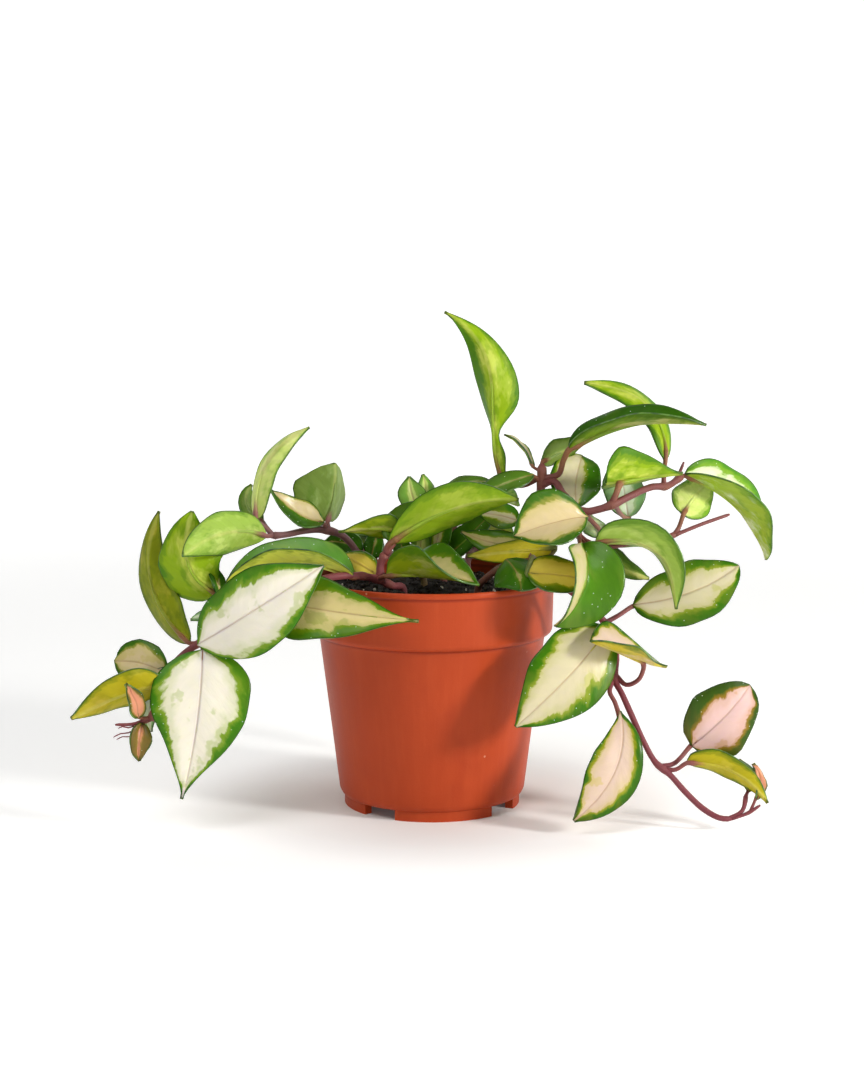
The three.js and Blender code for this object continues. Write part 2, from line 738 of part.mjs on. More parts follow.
        width: 15, face: [-0.1, 0.9, 0.6], bow: [3, 5, 0], fold: 18, rise: 0.45,
      },
      { // curled young leaves
        base: [156, 4, -52], tip: [151, 20, -46], from: [[154.5, 0, -55]],
        width: 9, face: [-0.6, -1, 0], bow: [3, 0, 0], fold: 25, petiole: 0.9,
      },
      {
        base: [160, 0, -58], tip: [158, 18, -52], from: [[157, -6.5, -60]],
        width: 7, face: [0.6, -1, 0], bow: [2, 0, 0], fold: 25, petiole: 0.8,
      },
    ],
  },
  right_front_stem: {
    stems: [
      { root: [22, -22], points: [[26, 110, -27], [33, 115, -30], [44, 118, -32], [54, 119, -32]] },
    ],
    leaves: [
      { // yellow, beneath the cream leaf
        base: [60, 125, -30], tip: [17, 121, -30], from: [[53, 119, -32], [58, 122, -31]],
        width: 12, face: [0, 0.9, -0.4], bow: [0, 0, 0], fold: 8,
      },
      {
        base: [46, 126, -26], tip: [14, 133, -20], from: [[48, 118.5, -32]],
        width: 14, face: [0, -1, 0.5], bow: [0, -2, 0], fold: 8,
      },
      {
        base: [42, 138, -24], tip: [22, 142, -18], from: [[48, 118.5, -32], [47, 130, -26]],
        width: 13, face: [0, -1, 0.3], bow: [0, 1, 0], fold: 8,
      },
      { // dark, cupped, over the rim
        base: [36, 119, -36], tip: [43, 104, -56], from: [[33, 115, -30]],
        width: 24, face: [0, -0.9, 0.6], bow: [2, 1, -4], fold: 0, curl: 3, taper: 0.6,
      },
      { // yellow and cream, hanging at the rim's right
        base: [46.5, 112.5, -52],
        tip: [76.5, 108.5, -48],
        from: [[50, 119, -32], [48.5, 120, -48]],
        width: 20,
        face: [0.1, -0.8, 0.6],
        bow: [0, 1, 0],
        fold: 8,
        rise: 0.5,
        taper: 0.7,
      },
    ],
  },
  back_left_stem: {
    stems: [
      {
        root: [-20, 30],
        points: [
          [-19, 119.5, 37], [-23, 124, 48], [-26, 124, 57], [-29, 116.5, 62],
          [-30, 102, 64], [-32, 86, 63],
        ],
      },
    ],
    leaves: [
      {
        base: [-22.5, 120.5, 62], tip: [2, 95, 70], from: [[-26, 123.5, 57.5]],
        width: 29, face: [0, 1, 0.3], bow: [2, 3, 3], fold: 8, curl: 2,
      },
      {
        base: [-31, 108.5, 66], tip: [-37.5, 66, 62], from: [[-29.2, 114.5, 62.5]],
        width: 30, face: [-0.2, 1, 0.1], bow: [-1, 2, 5], fold: 8, curl: 2,
      },
      {
        base: [-26, 96.5, 67], tip: [2, 66, 66], from: [[-30, 102, 64]],
        width: 28, face: [0.1, 1, 0.1], bow: [2, 3, 3], fold: 8, curl: 2,
      },
      {
        base: [-31.5, 82.5, 63.5], tip: [-24.5, 44.5, 60], from: [[-31.8, 87.5, 63]],
        width: 25, face: [0, 1, 0], bow: [-3, 0, 3], fold: 10,
      },
      {
        base: [-24, 124, 43], tip: [-50, 123, 50], from: [[-20.5, 121.2, 41]],
        width: 24, face: [0, 0.4, 1], bow: [0, 3, 0], fold: 15,
      },
    ],
  },
  back_right_stem: {
    stems: [
      {
        root: [18, 34],
        points: [
          [17.5, 119.5, 41], [21, 124.5, 50], [27, 124.5, 57], [32, 117, 61.5],
          [33.5, 102.5, 63], [34.5, 88, 62],
        ],
      },
    ],
    leaves: [
      {
        base: [31, 121.5, 60], tip: [49, 98.5, 55], from: [[27.5, 124.2, 57.5]],
        width: 27, face: [0.3, 1, 0.3], bow: [2, 3, 3], fold: 8, curl: 2,
      },
      {
        base: [28.5, 110.5, 66], tip: [7.5, 72.5, 68], from: [[32.2, 115, 61.8]],
        width: 28, face: [-0.1, 1, 0.1], bow: [-2, 1, 4], fold: 8, curl: 2,
      },
      {
        base: [36, 97.5, 65], tip: [41, 60, 60], from: [[33.5, 102, 63]],
        width: 28, face: [0.2, 1, 0.1], bow: [2, 0, 4], fold: 8, curl: 2,
      },
      {
        base: [33, 83.5, 63.5], tip: [15, 50, 61], from: [[34.5, 88.5, 62]],
        width: 25, face: [0, 1, 0], bow: [2, -2, 3], fold: 10,
      },
      {
        base: [18, 125, 46], tip: [5.5, 128, 66], from: [[18.5, 121.5, 45]],
        width: 24, face: [0, 0.3, 1], bow: [0, 3, 0], fold: 12,
      },
    ],
  },
  back_high_stem: {
    stems: [
      { root: [6, 22], points: [[7, 118, 22], [9, 130, 22], [12, 141, 22], [16, 149, 22]] },
    ],
    leaves: [
      {
        base: [13, 147, 24], tip: [-10, 141, 44], from: [[14, 146, 22]],
        width: 22, face: [-0.2, 0.5, 1], bow: [0, 3, 2], fold: 12,
      },
      {
        base: [19, 150, 24], tip: [42, 146, 46], from: [[15.5, 148.5, 22]],
        width: 23, face: [0.2, 0.5, 1], bow: [0, 2, 2], fold: 12,
      },
      {
        base: [13, 134, 26], tip: [40, 130, 50], from: [[10, 134, 22]],
        width: 24, face: [0.2, 0.6, 1], bow: [0, 3, 2], fold: 12,
      },
      {
        base: [6, 130, 25], tip: [-18, 132, 48], from: [[9, 129, 22]],
        width: 22, face: [-0.2, 0.6, 1], bow: [0, 3, 2], fold: 12,
      },
    ],
  },
};

function leafyStemSolid({ stems, leaves }) {
  return union([...stems.map(stemSolid), ...leaves.map(leafSolid)]);
}

const finish = (colour, roughness) =>
  new THREE.MeshStandardMaterial({ color: colour, roughness, metalness: 0 });
const terracotta = finish(0xb84c2e, 0.4);
const peat = finish(0x1d1713, 0.95);
const foliage = finish(0x6f9a2e, 0.35);

const roots = Object.values(LEAFY_STEMS).flatMap(({ stems }) =>
  stems.filter((stem) => stem.root).map((stem) => stem.root),
);

function namedMesh(name, solid, material) {
  const mesh = new THREE.Mesh(geometryOf(solid), material);
  mesh.name = name;
  return mesh;
}

const plant = new THREE.Group();
plant.add(namedMesh("pot", potSolid(), terracotta));
plant.add(namedMesh("soil", soilSolid(roots), peat));
for (const [name, parts] of Object.entries(LEAFY_STEMS))
  plant.add(namedMesh(name, leafyStemSolid(parts), foliage));

export default plant;
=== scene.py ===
"""A variegated hoya in a plastic nursery pot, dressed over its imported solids."""

import logging
import math
import random
from dataclasses import dataclass, field
from enum import Enum

import bmesh
import bpy
from mathutils import Matrix, Vector, noise


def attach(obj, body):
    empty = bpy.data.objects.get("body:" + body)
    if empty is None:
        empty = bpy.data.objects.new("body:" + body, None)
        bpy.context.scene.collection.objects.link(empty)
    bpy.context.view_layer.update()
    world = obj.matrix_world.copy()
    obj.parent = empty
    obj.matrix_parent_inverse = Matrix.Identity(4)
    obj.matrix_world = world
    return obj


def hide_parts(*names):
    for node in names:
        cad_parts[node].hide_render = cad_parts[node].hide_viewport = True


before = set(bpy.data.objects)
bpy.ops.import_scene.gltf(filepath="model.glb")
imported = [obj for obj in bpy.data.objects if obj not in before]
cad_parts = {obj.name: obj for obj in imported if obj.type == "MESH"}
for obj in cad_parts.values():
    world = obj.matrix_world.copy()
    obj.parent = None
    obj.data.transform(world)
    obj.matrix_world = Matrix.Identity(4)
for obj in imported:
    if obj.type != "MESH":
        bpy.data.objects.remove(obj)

MM = 0.001
EYE_DISTANCE = 1009.0
EYE_HEIGHT = 266.0

# Leaf forms; lengths in millimetres. Phases and scales are for a whole blade's length or half
# its width.
LEAST_HALF_WIDTH = 0.5
WAIST_SHARE = 0.27
WAIST_SPAN = 0.11
RUFFLE = 0.5
RUFFLE_PHASES = (11.0, 3.0)
UNEVEN = 0.9
UNEVEN_SCALES = (3.3, 1.9)
UNEVEN_WIDTH = 0.12
UNEVEN_WIDTH_SCALE = 4.1
HALF_APART = 7.0
SLOPE_STEP = 0.02
NORMAL_STEP = 0.03

# Where stems enter the soil; lengths in millimetres.
SOIL_TOP = 105.5
ROOT_DEPTH = 15.0
ROOT_TOP = 3.5

# The light that leaves let through; lengths in metres.
LEAF_DEPTH = {
    "Subsurface_Weight": 0.3,
    "Subsurface_Radius": (0.004, 0.005, 0.0012),
    "Subsurface_Scale": 0.4,
}

# Marks that the leaf skins read.
VECTOR_MARKS = ("shape", "spot", "look")
COLOUR_MARKS = ("pale", "margin", "under", "under_margin", "tone")

SHARP_DEGREES = 100.0
POT_SHARP_DEGREES = 50.0
MERGE_DISTANCE = 1e-6
FULL_TURN = 2 * math.pi

# The room's light is strongest up to just over the horizon and faint overhead.
WORLD_BAND = {"From Min": 0.06, "From Max": 0.42, "To Min": 0.86, "To Max": 0.1}

Rgb = tuple[float, float, float]
Triple = tuple[float, float, float]

log = logging.getLogger("hoya")


def place(seen: Triple) -> Vector:
    """Turns a place as seen from the front into a point of the row frame.

    Args:
        seen: Millimetres across and up on the upright plane through the pot's axis, and behind it.

    Returns:
        The point in metres.
    """
    across, up, depth = seen
    share = depth / EYE_DISTANCE
    return Vector((across * (1 + share), depth, up + (up - EYE_HEIGHT) * share)) * MM


def linear(colour: Rgb) -> tuple[float, float, float, float]:
    """Turns a screen colour with parts from 0 to 255 into the renderer's linear one.

    Args:
        colour: Red, green and blue from 0 to 255.

    Returns:
        The linear colour with an alpha of 1.
    """
    parts = [part / 255 for part in colour]
    made = [p / 12.92 if p <= 0.04045 else ((p + 0.055) / 1.055) ** 2.4 for p in parts]
    return (made[0], made[1], made[2], 1.0)


def mixed(first: Rgb, second: Rgb, share: float) -> Rgb:
    """Blends two screen colours.

    Args:
        first: The colour at share 0.
        second: The colour at share 1.
        share: How much of the second there is.

    Returns:
        The blend.
    """
    return tuple(a + (b - a) * share for a, b in zip(first, second))


class Wire:
    """An output socket that takes part in sums: each operator adds a Math node."""

    def __init__(self, recipe: "Recipe", socket: bpy.types.NodeSocket) -> None:
        """Wraps a socket.

        Args:
            recipe: The material that the socket belongs to.
            socket: The output socket.
        """
        self.recipe = recipe
        self.socket = socket

    def _sum(self, operation: str, *values: "Wire | float") -> "Wire":
        """Adds a Math node of that operation on the values."""
        settings = {"operation": operation}
        return self.recipe.node("ShaderNodeMath", settings, dict(enumerate(values)))

    def __add__(self, other: "Wire | float") -> "Wire":
        """self + other."""
        return self._sum("ADD", self, other)

    def __radd__(self, other: float) -> "Wire":
        """other + self."""
        return self._sum("ADD", other, self)

    def __sub__(self, other: "Wire | float") -> "Wire":
        """self - other."""
        return self._sum("SUBTRACT", self, other)

    def __rsub__(self, other: float) -> "Wire":
        """other - self."""
        return self._sum("SUBTRACT", other, self)

    def __mul__(self, other: "Wire | float") -> "Wire":
        """self * other."""
        return self._sum("MULTIPLY", self, other)

    def __rmul__(self, other: float) -> "Wire":
        """other * self."""
        return self._sum("MULTIPLY", other, self)

    def __abs__(self) -> "Wire":
        """The size of self without its sign."""
        return self._sum("ABSOLUTE", self)

    def sine(self) -> "Wire":
        """The sine of self, in radians."""
        return self._sum("SINE", self)

    def rise(self, low: "Wire | float", high: "Wire | float") -> "Wire":
        """A smooth step.

        Args:
            low: Where the step starts, at 0.
            high: Where it ends, at 1. If it lies below low, the step falls.

        Returns:
            The step's value.
        """
        return self.recipe.node(
            "ShaderNodeMapRange",
            {"interpolation_type": "SMOOTHSTEP"},
            {"Value": self, "From Min": low, "From Max": high},
        )


class Recipe:
    """A material under construction, with one Principled shader."""

    def __init__(self, name: str) -> None:
        """Starts an empty material.

        Args:
            name: The material's name.
        """
        self.material = bpy.data.materials.new(name)
        self.material.use_nodes = True
        self.tree = self.material.node_tree
        self.tree.nodes.clear()
        self.shader = self.tree.nodes.new("ShaderNodeBsdfPrincipled")
        output = self.tree.nodes.new("ShaderNodeOutputMaterial")
        self.tree.links.new(self.shader.outputs[0], output.inputs["Surface"])

    def node(
        self,
        kind: str,
        settings: dict[str, object] | None = None,
        inputs: dict[str | int, object] | None = None,
        output: int = 0,
    ) -> Wire:
        """Adds any node.

        Args:
            kind: The node's type.
            settings: Properties set first, such as a Math node's operation.
            inputs: Values or wires by the socket's name or number.
            output: Which output is wanted.

        Returns:
            The wanted output.
        """
        made = self.tree.nodes.new(kind)
        for name, value in (settings or {}).items():
            setattr(made, name, value)
        for name, value in (inputs or {}).items():
            if isinstance(value, Wire):
                self.tree.links.new(value.socket, made.inputs[name])
            else:
                made.inputs[name].default_value = value
        return Wire(self, made.outputs[output])

    def attribute(self, name: str, output: int = 1) -> Wire:
        """An attribute's vector, or with output 0 its colour."""
        return self.node("ShaderNodeAttribute", {"attribute_name": name}, output=output)

    def parts(self, vector: Wire) -> tuple[Wire, Wire, Wire]:
        """The three numbers of a vector."""
        kind = "ShaderNodeSeparateXYZ"
        return tuple(self.node(kind, None, {0: vector}, output=number) for number in range(3))

    def vector(self, x: Wire | float, y: Wire | float, z: Wire | float) -> Wire:
        """A vector of three numbers."""
        return self.node("ShaderNodeCombineXYZ", None, {0: x, 1: y, 2: z})

    def place(self, scale: Triple = (1.0, 1.0, 1.0)) -> Wire:
        """Object coordinates in millimetres, times a scale for each axis."""
        here = self.node("ShaderNodeTexCoord", output=3)
        per_mm = tuple(part / MM for part in scale)
        inputs = {"Vector": here, "Scale": per_mm}
        return self.node("ShaderNodeMapping", {"vector_type": "POINT"}, inputs)

    def noise(
        self, where: Wire, scale: float, detail: float = 3.0, roughness: float = 0.55
    ) -> Wire:
        """Cloudy noise from 0 to 1.

        Args:
            where: The place in the pattern.
            scale: Lumps for each unit of where.
            detail: How many finer layers are added.
            roughness: How strong the finer layers are.

        Returns:
            The noise's value.
        """
        inputs = {"Vector": where, "Scale": scale, "Detail": detail, "Roughness": roughness}
        return self.node("ShaderNodeTexNoise", None, inputs)

    def specks(
        self, where: Wire, scale: float, size: float, share: float, flat: bool = False
    ) -> Wire:
        """Scattered round specks.

        Args:
            where: The place in the pattern.
            scale: Cells for each unit of where.
            size: A speck's radius as a share of its cell.
            share: The share of cells that hold one.
            flat: Whether the pattern takes only the first two numbers of where.

        Returns:
            1 inside a speck and 0 outside.
        """
        inputs = {"Vector": where, "Scale": scale}
        settings = {"voronoi_dimensions": "2D" if flat else "3D"}
        distance = self.node("ShaderNodeTexVoronoi", settings, inputs)
        chance = self.parts(self.node("ShaderNodeTexVoronoi", settings, inputs, output=1))[0]
        return distance.rise(size, size * 0.6) * chance.rise(1 - share, 1 - share + 0.01)

    def blend(self, first: Wire | Rgb, second: Wire | Rgb, share: Wire | float) -> Wire:
        """Mixes two colours.

        Args:
            first: The colour at share 0.
            second: The colour at share 1.
            share: How much of the second there is.

        Returns:
            The mixed colour.
        """
        one, two = (part if isinstance(part, Wire) else linear(part) for part in (first, second))
        settings = {"data_type": "RGBA", "clamp_factor": True}
        return self.node("ShaderNodeMix", settings, {0: share, 6: one, 7: two}, output=2)

    def shade(self, colour: Wire, amount: Wire | float) -> Wire:
        """Multiplies a colour by a grey amount, where 1 leaves it as it is."""
        grey = self.vector(amount, amount, amount)
        return self.node("ShaderNodeVectorMath", {"operation": "MULTIPLY"}, {0: colour, 1: grey})

    def bump(self, height: Wire, depth: float) -> Wire:
        """A normal from a height.

        Args:
            height: The height, where 1 stands for the whole depth.
            depth: The depth in metres.

        Returns:
            The bumped normal.
        """
        inputs = {"Height": height, "Distance": depth, "Strength": 1.0}
        return self.node("ShaderNodeBump", None, inputs)

    def finish(self, **sockets: object) -> bpy.types.Material:
        """Sets the shader's sockets.

        Args:
            sockets: Values or wires, named as the sockets are, with _ for a space.

        Returns:
            The finished material.
        """
        for name, value in sockets.items():
            socket = self.shader.inputs[name.replace("_", " ")]
            if isinstance(value, Wire):
                self.tree.links.new(value.socket, socket)
            else:
                socket.default_value = value
        return self.material


@dataclass(frozen=True)
class LeafUpperSkin:
    """The waxy upper face: a pale ragged centre, a green margin and a tan midrib.

    Scales count the lumps of a pattern for each millimetre, and reaches say how far it shifts
    the border between the pale centre and the margin, where 1 is half the blade's width.
    """

    midrib: Rgb = (168, 122, 74)
    outline: Rgb = (34, 66, 20)
    speck: Rgb = (214, 230, 204)
    vein_slope: float = 0.9
    lobe_scale: float = 0.06
    lobe_reach: float = 0.62
    ragged_scale: float = 0.18
    ragged_reach: float = 0.34
    fine_scale: float = 0.7
    fine_reach: float = 0.1
    cloud_scale: float = 0.09
    tip_reach: float = 0.3
    base_reach: float = 0.35
    speck_scale: float = 0.65
    roughness: float = 0.36
    relief: float = 0.0005

    def material(self) -> bpy.types.Material:
        """Builds the material.

        Returns:
            The material, which reads the blade's own attributes.
        """
        r = Recipe("leaf_upper_skin")
        side, share, edge = r.parts(r.attribute("shape"))
        across, along, seed = r.parts(r.attribute("spot"))
        cream, shift, _ = r.parts(r.attribute("look"))
        pale, green, belt = (r.attribute(name, 0) for name in ("pale", "margin", "under"))
        outwards = abs(across)
        flow = r.vector(along - outwards * self.vein_slope, across * 0.5, seed * 9.7)
        lobes = r.noise(flow, self.lobe_scale, 2.0, 0.5)
        ragged = r.noise(flow, self.ragged_scale, 3.0, 0.6)
        fine = r.noise(flow, self.fine_scale, 3.0, 0.6)
        clouds = r.noise(r.vector(along, across, seed * 5.3), self.cloud_scale)
        # The pale centre ends where reach, 0 on the midrib and about 1 at the margin, is cream.
        reach = abs(side + shift) + (lobes - 0.5) * self.lobe_reach
        reach = reach + (ragged - 0.5) * self.ragged_reach + (fine - 0.5) * self.fine_reach
        reach = reach + share.rise(0.84, 1.0) * self.tip_reach
        reach = reach + share.rise(0.13, 0.0) * self.base_reach
        wash = reach + (clouds - 0.5) * 0.5
        light = r.blend(r.blend(pale, belt, 0.55), green, 0.16)
        middle = r.blend(belt, green, 0.55)
        deep = r.shade(green, 0.66 + ragged * 0.44 + fine * 0.24)
        deep = r.blend(deep, middle, lobes.rise(0.5, 0.64) * 0.35)
        centre = r.blend(pale, light, wash.rise(cream - 0.36, cream - 0.08) * 0.42)
        island = clouds + (reach - cream) * 0.14 + share.rise(0.5, 0.0) * 0.05
        centre = r.blend(centre, r.blend(light, belt, 0.4), island.rise(0.54, 0.6) * 0.5)
        centre = r.shade(centre, 0.93 + ragged * 0.14)
        skin = r.blend(centre, light, reach.rise(cream - 0.05, cream + 0.02) * 0.85)
        skin = r.blend(skin, middle, wash.rise(cream - 0.02, cream + 0.04))
        skin = r.blend(skin, deep, wash.rise(cream + 0.03, cream + 0.2))
        skin = r.shade(skin, 1 - wash.rise(cream + 0.12, 1.1) * 0.3)
        rib = outwards.rise(0.5, 0.15) * (1 - share * 0.5)
        skin = r.blend(skin, self.midrib, rib * 0.5)
        spread = r.vector(across + seed * 31, along, 0.0)
        dots = r.specks(spread, self.speck_scale, 0.17, 0.05, flat=True)
        dots = dots * reach.rise(cream, cream + 0.1)
        skin = r.blend(skin, self.speck, dots * 0.75)
        skin = r.blend(skin, self.outline, edge.rise(0.6, 0.15) * 0.75)
        veins = ((along - outwards * self.vein_slope) * 1.1).sine()
        height = 0.5 + veins * 0.06 + fine * 0.22 + lobes * 0.8 - outwards.rise(0.9, 0.1) * 0.5
        return r.finish(
            Base_Color=skin,
            Roughness=self.roughness + (clouds - 0.5) * 0.18,
            Specular_IOR_Level=0.1,
            Coat_Weight=0.15,
            Coat_Roughness=0.16,
            Normal=r.bump(height, self.relief),
            **LEAF_DEPTH,
        )


@dataclass(frozen=True)
class LeafUnderSkin:
    """The paler, duller underside: mottled streaks and a raised midrib.

    Scales and reaches are as in LeafUpperSkin.
    """

    midrib: Rgb = (206, 206, 116)
    outline: Rgb = (48, 74, 24)
    vein_slope: float = 0.9
    lobe_scale: float = 0.065
    lobe_reach: float = 0.6
    ragged_scale: float = 0.2
    ragged_reach: float = 0.6
    fine_scale: float = 0.7
    patch_scale: float = 0.15
    cloud_scale: float = 0.11
    roughness: float = 0.5
    relief: float = 0.0005

    def material(self) -> bpy.types.Material:
        """Builds the material.

        Returns:
            The material, which reads the blade's own attributes.
        """
        r = Recipe("leaf_under_skin")
        side, share, edge = r.parts(r.attribute("shape"))
        across, along, seed = r.parts(r.attribute("spot"))
        _, shift, glow = r.parts(r.attribute("look"))
        under, margin = r.attribute("under", 0), r.attribute("under_margin", 0)
        pale = r.attribute("pale", 0)
        outwards = abs(across)
        flow = r.vector(along - outwards * self.vein_slope, across * 0.5, seed * 7.1)
        lobes = r.noise(flow, self.lobe_scale, 2.0, 0.5)
        ragged = r.noise(flow, self.ragged_scale, 4.0, 0.6)
        fine = r.noise(flow, self.fine_scale, 3.0, 0.6)
        patch_place = r.vector(along * 0.5, across, seed * 3.3)
        patches = r.noise(patch_place, self.patch_scale, 3.0, 0.6)
        cloud_place = r.vector(along * 0.6, across, seed * 4.9)
        clouds = r.noise(cloud_place, self.cloud_scale, 3.0, 0.6)
        reach = abs(side + shift) + (lobes - 0.5) * self.lobe_reach
        reach = reach + (ragged - 0.5) * self.ragged_reach
        milky = patches + (0.5 - abs(side + shift)) * 0.2
        skin = r.blend(under, margin, clouds.rise(0.5, 0.62) * 0.45)
        skin = r.blend(skin, r.blend(under, pale, 0.4), milky.rise(0.49, 0.6) * 0.6)
        skin = r.blend(skin, r.blend(under, pale, 0.85), milky.rise(0.6, 0.68) * 0.6)
        skin = r.blend(skin, margin, reach.rise(glow - 0.14, glow - 0.04) * 0.5)
        skin = r.blend(skin, margin, reach.rise(glow + 0.02, glow + 0.14) * 0.9)
        skin = r.shade(skin, 0.82 + ragged * 0.22 + fine * 0.14)
        rib = outwards.rise(1.1, 0.35) * (1 - share * 0.5)
        skin = r.blend(skin, self.midrib, rib * 0.4)
        veins = ((along - outwards * self.vein_slope) * 1.0).sine()
        skin = r.shade(skin, 1 - veins.rise(0.75, 1.0) * 0.04)
        skin = r.blend(skin, self.outline, edge.rise(0.6, 0.15) * 0.75)
        height = 0.4 + veins * 0.08 + fine * 0.2 + lobes * 0.7 + outwards.rise(1.2, 0.1) * 0.6
        return r.finish(
            Base_Color=skin,
            Roughness=self.roughness + (ragged - 0.5) * 0.15,
            Specular_IOR_Level=0.12,
            Coat_Weight=0.06,
            Coat_Roughness=0.35,
            Normal=r.bump(height, self.relief),
            **LEAF_DEPTH,
        )


@dataclass(frozen=True)
class LeafRimSkin:
    """The thin edge of a blade, darker than its faces."""

    dark: Rgb = (44, 78, 24)
    light: Rgb = (96, 140, 44)

    def material(self) -> bpy.types.Material:
        """Builds the material.

        Returns:
            The material.
        """
        r = Recipe("leaf_rim_skin")
        patches = r.noise(r.place(), 0.25, 2.0)
        return r.finish(
            Base_Color=r.blend(self.dark, self.light, patches.rise(0.35, 0.7)),
            Roughness=0.4 + patches * 0.1,
            Coat_Weight=0.2,
        )


@dataclass(frozen=True)
class StemBark:
    """Stems and leaf stalks: their own colour, fine lengthwise grain and pale pores."""

    pore: Rgb = (196, 150, 132)

    def material(self) -> bpy.types.Material:
        """Builds the material.

        Returns:
            The material, which reads the tubes' tone.
        """
        r = Recipe("stem_bark")
        tone = r.attribute("tone", 0)
        blotch = r.noise(r.place(), 0.22)
        grain = r.noise(r.place(), 1.6, 4.0, 0.65)
        skin = r.shade(tone, 0.68 + blotch * 0.42 + grain * 0.24)
        pores = r.specks(r.place(), 0.55, 0.16, 0.2)
        skin = r.blend(skin, self.pore, pores * 0.45)
        return r.finish(
            Base_Color=skin,
            Roughness=0.46 + grain * 0.2,
            Coat_Weight=0.08,
            Coat_Roughness=0.3,
            Normal=r.bump(grain * 0.6 + blotch * 0.4, 0.0006),
        )


@dataclass(frozen=True)
class TerracottaPlastic:
    """Satin moulded plastic with faint upright streaks, scuffs, a few specks and painted shade
    under the rim band and the lip.

    Each band of painted shade is four heights in millimetres: where the shade starts, is full,
    fades and ends.
    """

    body: Rgb = (174, 64, 26)
    bright: Rgb = (190, 79, 38)
    # The dull colour serves for random dull patches and for the painted shade under the rim band
    # and the lip.
    dull: Rgb = (140, 44, 20)
    dust: Rgb = (224, 170, 140)
    grooves: tuple[tuple[float, float, float, float], ...] = (
        (82.6, 83.9, 84.2, 84.9),
        (107.4, 108.7, 109.1, 109.6),
    )
    relief: float = 0.00018

    def material(self) -> bpy.types.Material:
        """Builds the material.

        Returns:
            The material.
        """
        r = Recipe("terracotta_plastic")
        streaks = r.noise(r.place((1.0, 1.0, 0.03)), 0.2)
        clouds = r.noise(r.place(), 0.03)
        scuffs = r.noise(r.place((0.35, 0.35, 1.6)), 0.5, 5.0, 0.7)
        colour = r.blend(self.body, self.bright, streaks.rise(0.4, 0.8) * 0.35)
        colour = r.blend(colour, self.dull, clouds.rise(0.5, 0.85) * 0.4)
        up = r.parts(r.place())[2]
        # Painted shade under the rim band and under the lip, set by height.
        shade_under_band, shade_under_lip = (
            up.rise(start, full) * up.rise(end, fading) for start, full, fading, end in self.grooves
        )
        colour = r.blend(colour, self.dull, (shade_under_band + shade_under_lip) * 0.85)
        dust = r.specks(r.place(), 0.2, 0.13, 0.07)
        colour = r.blend(colour, self.dust, dust * 0.5 + scuffs.rise(0.72, 0.8) * 0.12)
        grain = r.noise(r.place(), 1.4, 3.0, 0.6)
        return r.finish(
            Base_Color=colour,
            Roughness=0.36 + streaks * 0.12 + scuffs * 0.08,
            Specular_IOR_Level=0.16,
            Coat_Weight=0.04,
            Coat_Roughness=0.3,
            Normal=r.bump(grain * 0.35 + streaks * 0.4 + scuffs * 0.25, self.relief),
        )


@dataclass(frozen=True)
class Peat:
    """Dark crumbly peat."""

    dark: Rgb = (22, 16, 12)
    light: Rgb = (66, 48, 36)

    def material(self) -> bpy.types.Material:
        """Builds the material.

        Returns:
            The material.
        """
        r = Recipe("peat")
        lumps = r.noise(r.place(), 0.5, 5.0, 0.7)
        fibres = r.noise(r.place((1.0, 0.3, 1.0)), 1.5, 4.0, 0.7)
        colour = r.blend(self.dark, self.light, (lumps * 0.6 + fibres * 0.5).rise(0.5, 0.85))
        return r.finish(
            Base_Color=colour,
            Roughness=0.92 + lumps * 0.06,
            Normal=r.bump(lumps * 0.6 + fibres * 0.4, 0.0016),
        )


@dataclass(frozen=True)
class Perlite:
    """White puffed grains, with painted shade in their pits."""

    white: Rgb = (226, 220, 208)
    shade: Rgb = (168, 158, 142)

    def material(self) -> bpy.types.Material:
        """Builds the material.

        Returns:
            The material.
        """
        r = Recipe("perlite")
        # The shade colour is painted shade, laid where the pits' bump is lowest.
        pits = r.noise(r.place(), 1.3, 4.0, 0.7)
        return r.finish(
            Base_Color=r.blend(self.shade, self.white, pits.rise(0.3, 0.6)),
            Roughness=0.85 + pits * 0.1,
            Normal=r.bump(pits, 0.0005),
        )


@dataclass(frozen=True)
class StudioPaper:
    """The plain pale floor and backdrop, lit a little from within, more so far away.

    Distances from the pot's axis are in millimetres: between which the glow clears the shade
    under the plant, and between which it turns from near to far.
    """

    white: Rgb = (240, 240, 239)
    near_glow: Rgb = (150, 150, 150)
    far_glow: Rgb = (206, 206, 206)
    clear_from: float = 45.0
    clear_to: float = 130.0
    far_from: float = 200.0
    far_to: float = 1400.0

    def material(self) -> bpy.types.Material:
        """Builds the material.

        Returns:
            The material.
        """
        r = Recipe("studio_paper")
        x, y, _ = r.parts(r.place())
        spread = x * x + y * y
        clear = spread.rise(self.clear_from**2, self.clear_to**2)
        distant = spread.rise(self.far_from**2, self.far_to**2)
        glow = r.blend(self.near_glow, self.far_glow, distant)
        return r.finish(
            Base_Color=linear(self.white),
            Roughness=0.9,
            Emission_Color=r.shade(glow, 0.1 + clear * 0.9),
            Emission_Strength=1.0,
        )


@dataclass(frozen=True)
class Shades:
    """The colours of one kind of leaf."""

    pale: Rgb
    margin: Rgb
    under: Rgb
    under_margin: Rgb


